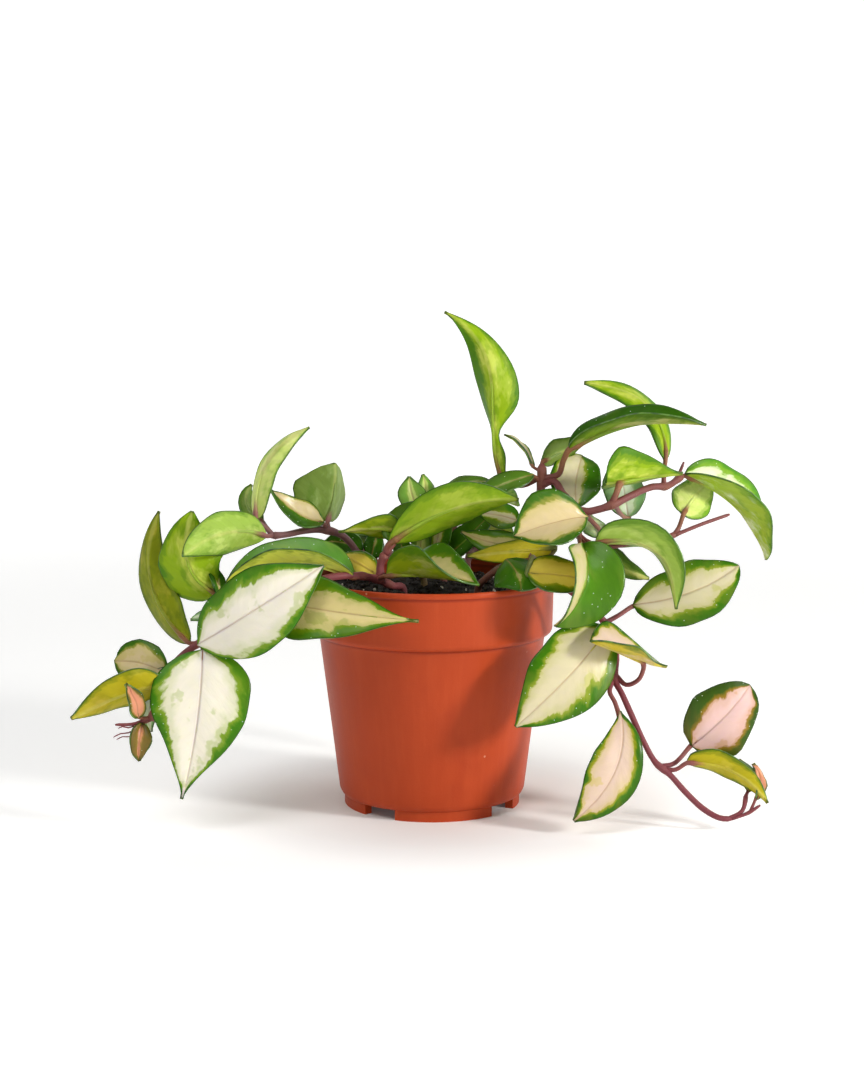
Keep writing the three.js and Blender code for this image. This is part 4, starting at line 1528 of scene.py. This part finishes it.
LEFT_FRONT = LeafyStem(
    node="left_front_stem",
    bark=(128, 58, 62),
    stalk=(140, 92, 54),
    stems=(
        Stem(
            (
                (-19, 106.5, -24), (-26, 109.5, -30), (-36, 111.5, -38), (-52, 110, -46),
                (-72, 100, -46), (-94, 88, -44), (-113, 78.5, -44), (-124, 70, -48),
                (-132, 55, -54), (-138, 39.5, -58),
            ),
            root=(-14, -20),
        ),
        Stem(((-25, 108, -30), (-25, 117, -30), (-22.5, 123, -30)), radius=1.9),
        Stem(((-137, 42, -57), (-146, 38, -60), (-155.5, 37.5, -62)), radius=0.8),
        Stem(
            ((-144, 38, -60), (-149, 36, -62), (-152, 36.6, -63), (-154.2, 35.6, -63)),
            radius=0.35,
        ),
        Stem(
            ((-143, 37.5, -60), (-149, 33.5, -62), (-153, 33, -63), (-156.5, 31.2, -63)),
            radius=0.35,
        ),
        Stem(
            ((-143, 37, -60), (-148.5, 31.6, -62), (-152, 31.5, -62), (-155, 30, -62)),
            radius=0.3,
        ),
    ),
    leaves=(
        # upright, seen from below, furthest left
        Leaf(
            (-118, 78.5, -41), (-132, 143, -18), ((-113, 78.5, -44),), Paint.OLIVE,
            width=21, face=(0.5, 1, 0), bow=(-12, -4, 6), fold=25, taper=0.9, cream=0.2, glow=0.8,
        ),
        # cupped, seen from below
        Leaf(
            (-104, 103, -32), (-116, 143, -27), ((-96.5, 87, -44), (-101, 97, -38)), Paint.LIME,
            width=33, face=(0.1, 1, 0.1), bow=(-7.5, -5, -6), fold=15, curl=-3, taper=0.8,
            cream=0.3, glow=0.85,
        ),
        # narrow one beside it
        Leaf(
            (-103.5, 101, -34), (-110, 118.5, -30), ((-94, 88, -44), (-99, 93, -38)), Paint.DEEP,
            width=8, face=(0.7, -1, 0.2), bow=(1.5, 1, 0), fold=20, cream=0.22, glow=0.5,
        ),
        # small one behind it
        Leaf(
            (-104, 91, -36), (-117.5, 89.5, -34), ((-95, 87.5, -44),), Paint.FADED,
            width=9, face=(0, -0.8, 1), bow=(0, 1, 0), fold=15, petiole=0.9, cream=0.5,
        ),
        # large, cream, seen from above
        Leaf(
            (-114, 77.5, -52), (-52.5, 116.5, -64), ((-112.5, 78.8, -45),), Paint.WHITE,
            width=37, face=(0.05, -1, 0.25), bow=(-1, -0.5, -5), fold=8, curl=2, rise=0.72,
            cream=0.7, shift=-0.06,
        ),
        # hanging down to the table
        Leaf(
            (-112, 75, -52), (-123.5, 0.3, -62), ((-113, 78.5, -44),), Paint.WHITE,
            width=47, face=(0, -1, 0.1), bow=(3, 1, -7), fold=6, curl=3, taper=1.45, cream=0.7,
        ),
        # behind the hanging one
        Leaf(
            (-128, 66, -50), (-138, 34, -50), ((-126, 68, -50),), Paint.FADED,
            width=15, face=(-0.3, -1, 0.2), bow=(-4, 0, 0), fold=10, cream=0.4, glow=0.6,
        ),
        # olive, seen from below, out to the left
        Leaf(
            (-131, 58, -56), (-177, 40.5, -62), ((-130, 60, -53),), Paint.YELLOW,
            width=22, face=(0, 0.9, 0.6), bow=(2, 3, 0), fold=12, cream=0.3, glow=0.85,
        ),
        # cream one behind it
        Leaf(
            (-130, 63, -50), (-155, 69, -42), ((-127, 66, -50),), Paint.TAN,
            width=22, face=(0, -1, 0.5), bow=(0, 2, 0), fold=10, taper=0.6, cream=0.62,
        ),
        # youngest leaves at the end
        Leaf(
            (-144, 41, -62), (-150, 58, -69), ((-137, 41, -57),), Paint.YOUNG,
            width=10, face=(0.8, -1, 0), bow=(1, 0, 0), fold=25, petiole=0.9,
        ),
        Leaf(
            (-142, 38, -59), (-144, 19.5, -62), ((-138, 40, -58),), Paint.YOUNG,
            width=12, face=(0.4, -1, 0), bow=(-1, 0, -2), fold=30, petiole=0.9, cream=0.3, glow=0.5,
        ),
        # arched over the rim, trough shaped; its shaded underside is lightened by painted light
        Leaf(
            (-38, 111, -40), (-100, 108, -34), ((-34, 111.5, -37),), Paint.ARCH,
            width=28, face=(0, -0.2, 1), bow=(0, 7.5, 0), fold=50, taper=0.75, cream=0.08, glow=0.9,
        ),
        # in front of the pot, drawn out tip
        Leaf(
            (-80, 99, -48), (-6.5, 89, -66), ((-72, 100, -46),), Paint.MEADOW,
            width=32, face=(0.1, -1, 0.3), bow=(1, 0, -6), fold=8, taper=1.7, cream=0.62,
        ),
        # large, folded, across the top of the pot
        Leaf(
            (-21.5, 127, -30), (42, 148.5, -34), ((-22.5, 122, -30),), Paint.CALM,
            width=25, face=(0.2, 1, 0.35), bow=(1.5, 7, 0), fold=25, rise=0.87, taper=1.2,
            petiole=1.6, cream=0.3, glow=0.8,
        ),
        Leaf(
            (-15, 134, -25), (-45.3, 133, -24), ((-22.5, 122, -30),), Paint.MEADOW,
            width=15, face=(-0.2, 0.9, 0.5), bow=(0, 1, 0), fold=15, rise=0.5, taper=1.6,
            petiole=1.5, cream=0.4, glow=0.75,
        ),
        Leaf(
            (-20.5, 128.5, -28), (-4, 148, -14), ((-22.5, 122, -30),), Paint.MEADOW,
            width=15, face=(-0.6, -0.9, 0.4), bow=(-2, 1, 0), fold=15, petiole=1.5, cream=0,
            glow=0.5,
        ),
        # trough shaped and twisted, lying over the rim
        Leaf(
            (-22, 112, -38), (23, 106.8, -50), ((-26, 110, -31),), Paint.MEADOW,
            width=37, face=(0, -0.1, 1), bow=(0, 1.5, 0), fold=47, twist=90, lean=-0.3, cream=0.34,
            shift=0.22, glow=0.85,
        ),
        # yellow, behind the stem
        Leaf(
            (-27, 112, -22), (-44, 121.5, -20), ((-22, 107, -26),), Paint.YELLOW,
            width=13, face=(0, -1, 0.3), bow=(0, 1, 0), fold=10, glow=0.8,
        ),
    ),
)

LEFT_BACK = LeafyStem(
    node="left_back_stem",
    bark=(122, 82, 84),
    stalk=(146, 92, 84),
    stems=(
        Stem(
            (
                (-32, 112, 12), (-37, 124, 8), (-44, 131.5, 4), (-53, 134, 0), (-62, 133.5, -4),
                (-70, 131.8, -6), (-78, 131, -8),
            ),
            root=(-30, 14),
        ),
    ),
    leaves=(
        # level, seen from below
        Leaf(
            (-80.5, 131, -12), (-121, 121.5, -60), ((-77.5, 131.2, -8),), Paint.FRESH,
            width=20.5, face=(-0.2, 1, -0.1), bow=(0, 5.5, 2), fold=10, curl=-2, taper=0.8,
            cream=0.3, glow=0.85,
        ),
        # slender, upright
        Leaf(
            (-84.4, 139, -8), (-59, 183.8, -4), ((-77.5, 131.2, -8), (-81, 135.5, -8)), Paint.PALE,
            width=15, face=(0.75, 0.7, -0.2), bow=(-8, 4, 0), fold=15, rise=0.5, taper=0.85,
            cream=0.3, glow=1,
        ),
        # behind it
        Leaf(
            (-82, 138, 2), (-87, 156, 12), ((-77, 131.2, -7), (-80, 135, -3)), Paint.GREY,
            width=11, face=(0.2, 1, 0.2), bow=(-5, 0, 0), fold=10, cream=0.2, glow=0.6,
        ),
        # rounded, seen from below
        Leaf(
            (-51, 138, 2), (-46.7, 166.5, 8), ((-49.5, 133, 1),), Paint.GREY,
            width=40, face=(-0.6, 0.8, 0), bow=(1.5, 0, 0), fold=40, rise=0.4, taper=0.55,
            cream=0.3, glow=1,
        ),
        # its partner, upper face seen
        Leaf(
            (-52.5, 137.5, -2), (-78, 153.6, -10), ((-50.5, 133.5, 1),), Paint.TAN,
            width=16, face=(0.3, -0.8, 0.7), bow=(-1, -3, 0), fold=22, cream=0.42, shift=-0.4,
        ),
        # dark ones low down
        Leaf(
            (-34, 123.5, 13), (-52, 128, 16), ((-33.8, 117.5, 10.5),), Paint.DEEP,
            width=13, face=(0, -1, 0.2), bow=(0, 2, 0), fold=10, cream=0, glow=0.4,
        ),
        Leaf(
            (-30, 120, 15), (-26, 134, 22), ((-32, 113, 12),), Paint.DEEP,
            width=11, face=(0.3, -1, 0.2), bow=(0, 0, 0), fold=10, cream=0, glow=0.4,
        ),
    ),
)

CENTRE = LeafyStem(
    node="centre_stem",
    bark=(112, 90, 50),
    stalk=(126, 130, 50),
    stems=(
        Stem(((-5, 112, 4), (-6, 122, 5), (-7, 134, 6), (-6, 146, 7)), root=(-4, 4)),
    ),
    leaves=(
        Leaf(
            (-7, 144, 6), (-11, 160, 8), ((-6.5, 140, 6.5),), Paint.FRESH,
            width=14, face=(0, -1, 0.2), bow=(-1, 0, 0), fold=8, cream=0.3, glow=0.6,
        ),
        Leaf(
            (-4, 146, 8), (-4.5, 161, 11), ((-6, 141, 7),), Paint.FRESH,
            width=10, face=(0.2, -1, 0.2), bow=(1, 0, 0), fold=8, cream=0.35, glow=0.6,
        ),
        Leaf(
            (-9, 119, 4), (-15.5, 133, 2), ((-5.5, 115, 4),), Paint.DEEP,
            width=10, face=(0.2, -1, 0), bow=(-2, -1, 0), fold=10, cream=0, glow=0.5,
        ),
        Leaf(
            (-5, 119, 0), (-3, 141, -8), ((-5, 114, 4),), Paint.FRESH,
            width=10, face=(-0.3, -1, 0), bow=(-1, 0, 0), fold=12, cream=0.4, glow=0.6,
        ),
        Leaf(
            (0, 120, 0), (8, 148, -4), ((-5, 116, 4),), Paint.CREAM,
            width=13, face=(-0.3, -1, 0.1), bow=(0, 0, 0), fold=10, cream=0.3,
        ),
        Leaf(
            (4, 118, 2), (33, 146, -6), ((-5, 114, 4.5), (0, 115, 4)), Paint.DEEP,
            width=14, face=(-0.5, -1, 0.6), bow=(1, 0, 0), fold=12, cream=0,
        ),
        # shows above the large folded leaf
        Leaf(
            (4, 150, 0), (29, 157, -6), ((-6, 145, 7), (-1, 148, 4)), Paint.GREY,
            width=12, face=(0, -0.7, 1), bow=(0, 2.5, 0), fold=15, cream=0.1,
        ),
    ),
)

RIGHT_HIGH = LeafyStem(
    node="right_high_stem",
    bark=(118, 58, 56),
    stalk=(136, 88, 50),
    stems=(
        Stem(
            ((46, 115, -9), (49, 132, -10), (51.5, 147, -10), (53, 158, -10), (53, 166, -10)),
            root=(44, -8), radius=2,
        ),
        Stem(
            (
                (53, 156, -10), (59, 157.5, -14), (64, 150, -21), (68, 145.5, -26),
                (73, 142.8, -30), (80, 143.8, -32), (88, 146.5, -32), (96, 150.5, -28),
                (106, 154.8, -20), (114, 155.5, -12), (121, 160.5, -4),
            ),
        ),
        Stem(((70, 144, -28), (70.5, 137, -30), (71, 130.5, -32)), radius=1.6),
        Stem(
            (
                (71, 131, -32), (77, 127, -36), (84, 125.8, -40), (94, 127, -38), (104, 129, -30),
                (113, 130, -24), (121, 133, -20),
            ),
            radius=1.3,
        ),
        Stem(((118, 131.5, -22), (130, 136.5, -18), (144, 141.5, -12)), radius=0.9),
        Stem(((118, 158.5, -6), (120, 163, -4), (121.5, 167, -4)), radius=0.8),
    ),
    leaves=(
        # tall, seen from below
        Leaf(
            (36, 157, 0), (6, 239, 8), ((53, 160, -10), (44, 155.5, -4)), Paint.LIME,
            width=26, face=(0.41, 0.91, 0), bow=(8, 2, 0), fold=40, twist=74, lean=1.6, rise=1.15,
            taper=1.15, waist=0.72, cream=0.3, shift=0.22, glow=0.6,
        ),
        Leaf(
            (49, 160.5, -13), (16, 148, -22), ((52.5, 157, -10),), Paint.GREY,
            width=13, face=(-0.2, -0.8, 0.8), bow=(0, 1, 0), fold=12, cream=0.1, glow=0.6,
        ),
        Leaf(
            (49, 165, -8), (35, 180, 4), ((53, 162, -10),), Paint.CREAM,
            width=6, face=(0.7, -0.3, 0.7), bow=(1, 2, 0), fold=20, petiole=0.9,
        ),
        # behind the long one, seen from below
        Leaf(
            (53, 167, -8), (76, 179, 4), ((53, 163, -10),), Paint.GREY,
            width=13, face=(-0.1, 0.9, 0.4), bow=(-1, -0.5, 0), fold=15, cream=0.2, glow=0.9,
        ),
        # long, dark, trough shaped
        Leaf(
            (66, 174, -16), (132, 184.5, -24), ((53, 159, -10), (61, 161, -12), (63.5, 168, -14)),
            Paint.DEEP,
            width=24, face=(0, -0.15, 1), bow=(0, 6, 0), fold=38, petiole=1.6, cream=0,
        ),
        # seen from below, its tip curled over to the left
        Leaf(
            (112, 168, -12), (73, 205, 0), ((112, 155.5, -14), (112, 162, -13)), Paint.LIME,
            width=18, face=(-0.6, 0.6, -0.5), bow=(10.5, 7.5, 4), fold=8, taper=0.8, cream=0.3,
            glow=0.66,
        ),
        # upper face behind the stems
        Leaf(
            (70, 144.5, -13), (72.5, 170, 6), ((64.5, 149.5, -21.5), (67, 144.5, -17)), Paint.CREAM,
            width=25, face=(0, -1, 0.2), bow=(-2, 0, -3), fold=10, taper=0.5, cream=0.5, shift=0.25,
        ),
        # curled up, seen from below
        Leaf(
            (84, 156.5, -31), (121, 161.5, -20), ((87, 146.5, -32), (89, 151.5, -32)), Paint.LIME,
            width=32, face=(0, 0.8, 0.6), bow=(-2, 0, 0), fold=36, rise=0.5, taper=1.3, petiole=1.7,
            joint=0.2, cream=0.3, glow=0.66,
        ),
        # drooping, at the far right
        Leaf(
            (122, 161, -4), (162.5, 119.5, 14), ((119, 159.5, -6),), Paint.SHEEN,
            width=36, face=(0.55, -0.15, 0.65), bow=(4.5, 5, 0), fold=42, taper=0.8, cream=0.74,
            glow=0.86,
        ),
        # roundish, seen from below
        Leaf(
            (121.5, 141.5, -18), (136, 161, 16), ((117, 131, -22), (119.5, 135, -20)), Paint.PALE,
            width=20, face=(-0.1, 1, -0.4), bow=(-1, 0, 0), fold=12, cream=0.4, glow=0.75,
        ),
        # pale, behind
        Leaf(
            (95, 140, 0), (89, 171, 12), ((88, 146.5, -32), (92, 141, -14)), Paint.FADED,
            width=21, face=(0.2, -1, 0.2), bow=(0, 0, 0), fold=8, cream=0.4,
        ),
        Leaf(
            (82, 130, -6), (75, 142, 8), ((73, 142.8, -30), (82, 133, -16)), Paint.FADED,
            width=12, face=(-0.3, 1, 0.2), bow=(0, 0, 0), fold=8, cream=0.4,
        ),
        # cream, across the front
        Leaf(
            (75, 140, -34), (39.6, 130.5, -46), ((72, 143, -30),), Paint.TAN,
            width=34, face=(0.05, -0.84, 0.55), bow=(1, 2, -2), fold=31, rise=1.1, taper=0.95,
            cream=0.62, shift=0.06,
        ),
        # large, hanging at the right of the pot, its left half turned to the front
        Leaf(
            (72.5, 127, -42), (60, 86.5, -56), ((71, 132, -32),), Paint.GLOSSY,
            width=36, face=(0.57, -0.82, 0.1), bow=(7, 1, -6), fold=35, twist=-60, taper=0.75,
            cream=0.32, shift=-0.5,
        ),
        # behind it
        Leaf(
            (76, 125, -38), (105.5, 110, -32), ((71, 131, -32),), Paint.DEEP,
            width=14, face=(0, 1, 0.5), bow=(-1, -1, 0), fold=12, cream=0, glow=0.4,
        ),
        # drooping, seen from below
        Leaf(
            (79.5, 128, -42), (119, 95, -52), ((76, 127.2, -36),), Paint.FRESH,
            width=26, face=(0.6, 0.5, 0.6), bow=(9, 12, -2), fold=22, cream=0.34,
        ),
    ),
)

RIGHT_LOW = LeafyStem(
    node="right_low_stem",
    bark=(120, 44, 54),
    stalk=(132, 72, 64),
    stems=(
        Stem(
            (
                (42, 109.5, -38), (52, 111.5, -42), (64, 106, -42), (78, 95, -38), (87, 84, -36),
                (90, 72, -36), (89.5, 60, -38), (93, 53, -42), (98, 42, -46), (104, 29, -50),
                (110, 18.5, -52), (117, 12.5, -54), (125, 3.5, -56), (134, -5, -58),
                (142, -9.5, -60), (148, -10, -60),
            ),
            root=(36, -34), radius=1.5,
        ),
        Stem(((146, -10, -60), (153, -6, -58), (155, 3, -54)), radius=1),
        Stem(((148, -10, -60), (156, -7, -60), (162, -3, -60)), radius=0.8),
    ),
    leaves=(
        # cream, out to the right
        Leaf(
            (98, 97, -30), (149, 116.5, -34), ((84, 88, -38), (91, 92, -34)), Paint.CREAM,
            width=29, face=(0, -1, 0.3), bow=(3, -2.5, -3), fold=8, curl=2, taper=0.7, cream=0.58,
        ),
        # cream, in front of the pot's right side
        Leaf(
            (86, 85, -46), (41, 36.5, -66), ((88.5, 79, -36),), Paint.CREAM,
            width=37, face=(0.1, -1, 0.2), bow=(0.5, -0.5, -5), fold=6, curl=3, cream=0.64,
        ),
        # curled, pink
        Leaf(
            (114.5, 66.5, -42), (77.5, 79, -62),
            ((90, 62, -37), (95, 57.5, -40), (101, 60, -43), (103.5, 66, -45)), Paint.ROSY,
            width=29, face=(0.1, -0.3, 1), bow=(0, -1, 0), fold=38, rise=1.7, taper=0.7, joint=0.3,
            cream=0.74, glow=0.9,
        ),
        # hanging down to the table
        Leaf(
            (92, 44, -46), (70, -11, -66), ((89, 61, -37), (87, 54, -42), (89.5, 49, -44)),
            Paint.ROSY,
            width=26, face=(0.1, -1, 0), bow=(8.5, 0, -5), fold=8, curl=2, rise=1.1, cream=0.62,
            shift=-0.1,
        ),
        # pink
        Leaf(
            (127.5, 27, -44), (155.5, 57.5, -38), ((112, 16.5, -52), (119, 18, -50)), Paint.PINK,
            width=32, face=(0, -1, 0.1), bow=(1, -0.5, -3), fold=8, curl=2, rise=0.4, taper=0.6,
            cream=0.58, shift=-0.12,
        ),
        # olive, seen from below
        Leaf(
            (125.5, 19, -54), (165.5, -2, -60), ((114, 15, -53), (120, 15, -54)), Paint.YELLOW,
            width=15, face=(-0.1, 0.9, 0.6), bow=(3, 5, 0), fold=18, rise=0.45, cream=0.3,
            glow=0.74,
        ),
        # curled young leaves
        Leaf(
            (156, 4, -52), (151, 20, -46), ((154.5, 0, -55),), Paint.YOUNG,
            width=9, face=(-0.6, -1, 0), bow=(3, 0, 0), fold=25, petiole=0.9, cream=0.85, glow=0.8,
        ),
        Leaf(
            (160, 0, -58), (158, 18, -52), ((157, -6.5, -60),), Paint.YOUNG,
            width=7, face=(0.6, -1, 0), bow=(2, 0, 0), fold=25, petiole=0.8, cream=0.85, glow=0.8,
        ),
    ),
)

RIGHT_FRONT = LeafyStem(
    node="right_front_stem",
    bark=(116, 70, 54),
    stalk=(96, 108, 42),
    stems=(
        Stem(((26, 110, -27), (33, 115, -30), (44, 118, -32), (54, 119, -32)), root=(22, -22)),
    ),
    leaves=(
        # yellow, beneath the cream leaf
        Leaf(
            (60, 125, -30), (17, 121, -30), ((53, 119, -32), (58, 122, -31)), Paint.YELLOW,
            width=12, face=(0, 0.9, -0.4), bow=(0, 0, 0), fold=8, cream=0.5, glow=0.85,
        ),
        Leaf(
            (46, 126, -26), (14, 133, -20), ((48, 118.5, -32),), Paint.MEADOW,
            width=14, face=(0, -1, 0.5), bow=(0, -2, 0), fold=8, cream=0.4,
        ),
        Leaf(
            (42, 138, -24), (22, 142, -18), ((48, 118.5, -32), (47, 130, -26)), Paint.CREAM,
            width=13, face=(0, -1, 0.3), bow=(0, 1, 0), fold=8, cream=0.4,
        ),
        # dark, cupped, over the rim
        Leaf(
            (36, 119, -36), (43, 104, -56), ((33, 115, -30),), Paint.DEEP,
            width=24, face=(0, -0.9, 0.6), bow=(2, 1, -4), fold=0, curl=3, taper=0.6, cream=0,
            glow=0.5,
        ),
        # yellow and cream, hanging at the rim's right
        Leaf(
            (46.5, 112.5, -52), (76.5, 108.5, -48), ((50, 119, -32), (48.5, 120, -48)),
            Paint.YELLOW,
            width=20, face=(0.1, -0.8, 0.6), bow=(0, 1, 0), fold=8, rise=0.5, taper=0.7, cream=0.66,
            shift=0.1,
        ),
    ),
)

BACK_LEFT = LeafyStem(
    node="back_left_stem",
    bark=(124, 64, 62),
    stalk=(136, 106, 52),
    stems=(
        Stem(
            (
                (-19, 119.5, 37), (-23, 124, 48), (-26, 124, 57), (-29, 116.5, 62), (-30, 102, 64),
                (-32, 86, 63),
            ),
            root=(-20, 30),
        ),
    ),
    leaves=(
        Leaf(
            (-22.5, 120.5, 62), (2, 95, 70), ((-26, 123.5, 57.5),), Paint.CREAM,
            width=29, face=(0, 1, 0.3), bow=(2, 3, 3), fold=8, curl=2, cream=0.62,
        ),
        Leaf(
            (-31, 108.5, 66), (-37.5, 66, 62), ((-29.2, 114.5, 62.5),), Paint.WHITE,
            width=30, face=(-0.2, 1, 0.1), bow=(-1, 2, 5), fold=8, curl=2, cream=0.68,
        ),
        Leaf(
            (-26, 96.5, 67), (2, 66, 66), ((-30, 102, 64),), Paint.SHEEN,
            width=28, face=(0.1, 1, 0.1), bow=(2, 3, 3), fold=8, curl=2, cream=0.35,
        ),
        Leaf(
            (-31.5, 82.5, 63.5), (-24.5, 44.5, 60), ((-31.8, 87.5, 63),), Paint.ROSY,
            width=25, face=(0, 1, 0), bow=(-3, 0, 3), fold=10,
        ),
        Leaf(
            (-24, 124, 43), (-50, 123, 50), ((-20.5, 121.2, 41),), Paint.DEEP,
            width=24, face=(0, 0.4, 1), bow=(0, 3, 0), fold=15, cream=0.1, glow=0.6,
        ),
    ),
)

BACK_RIGHT = LeafyStem(
    node="back_right_stem",
    bark=(122, 60, 60),
    stalk=(136, 106, 52),
    stems=(
        Stem(
            (
                (17.5, 119.5, 41), (21, 124.5, 50), (27, 124.5, 57), (32, 117, 61.5),
                (33.5, 102.5, 63), (34.5, 88, 62),
            ),
            root=(18, 34),
        ),
    ),
    leaves=(
        Leaf(
            (31, 121.5, 60), (49, 98.5, 55), ((27.5, 124.2, 57.5),), Paint.WHITE,
            width=27, face=(0.3, 1, 0.3), bow=(2, 3, 3), fold=8, curl=2, cream=0.58,
        ),
        Leaf(
            (28.5, 110.5, 66), (7.5, 72.5, 68), ((32.2, 115, 61.8),), Paint.CREAM,
            width=28, face=(-0.1, 1, 0.1), bow=(-2, 1, 4), fold=8, curl=2, cream=0.68,
        ),
        Leaf(
            (36, 97.5, 65), (41, 60, 60), ((33.5, 102, 63),), Paint.LIME,
            width=28, face=(0.2, 1, 0.1), bow=(2, 0, 4), fold=8, curl=2, cream=0.3,
        ),
        Leaf(
            (33, 83.5, 63.5), (15, 50, 61), ((34.5, 88.5, 62),), Paint.TAN,
            width=25, face=(0, 1, 0), bow=(2, -2, 3), fold=10, cream=0.66,
        ),
        Leaf(
            (18, 125, 46), (5.5, 128, 66), ((18.5, 121.5, 45),), Paint.SHEEN,
            width=24, face=(0, 0.3, 1), bow=(0, 3, 0), fold=12, cream=0.4,
        ),
    ),
)

BACK_HIGH = LeafyStem(
    node="back_high_stem",
    bark=(120, 70, 60),
    stalk=(130, 110, 52),
    stems=(
        Stem(((7, 118, 22), (9, 130, 22), (12, 141, 22), (16, 149, 22)), root=(6, 22)),
    ),
    leaves=(
        Leaf(
            (13, 147, 24), (-10, 141, 44), ((14, 146, 22),), Paint.CREAM,
            width=22, face=(-0.2, 0.5, 1), bow=(0, 3, 2), fold=12,
        ),
        Leaf(
            (19, 150, 24), (42, 146, 46), ((15.5, 148.5, 22),), Paint.SHEEN,
            width=23, face=(0.2, 0.5, 1), bow=(0, 2, 2), fold=12, cream=0.45,
        ),
        Leaf(
            (13, 134, 26), (40, 130, 50), ((10, 134, 22),), Paint.WHITE,
            width=24, face=(0.2, 0.6, 1), bow=(0, 3, 2), fold=12, cream=0.62,
        ),
        Leaf(
            (6, 130, 25), (-18, 132, 48), ((9, 129, 22),), Paint.DEEP,
            width=22, face=(-0.2, 0.6, 1), bow=(0, 3, 2), fold=12, cream=0.05, glow=0.6,
        ),
    ),
)

LEAFY_STEMS = (
    LEFT_FRONT, LEFT_BACK, CENTRE, RIGHT_HIGH, RIGHT_LOW, RIGHT_FRONT, BACK_LEFT, BACK_RIGHT,
    BACK_HIGH,
)


def main() -> None:
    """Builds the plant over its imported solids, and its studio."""
    logging.basicConfig(level=logging.INFO, format="%(message)s")
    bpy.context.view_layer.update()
    NurseryPot().build()
    PeatBed().build()
    for leafy_stem in LEAFY_STEMS:
        leafy_stem.build()
    Studio().build()


if __name__ == "__main__":
    main()
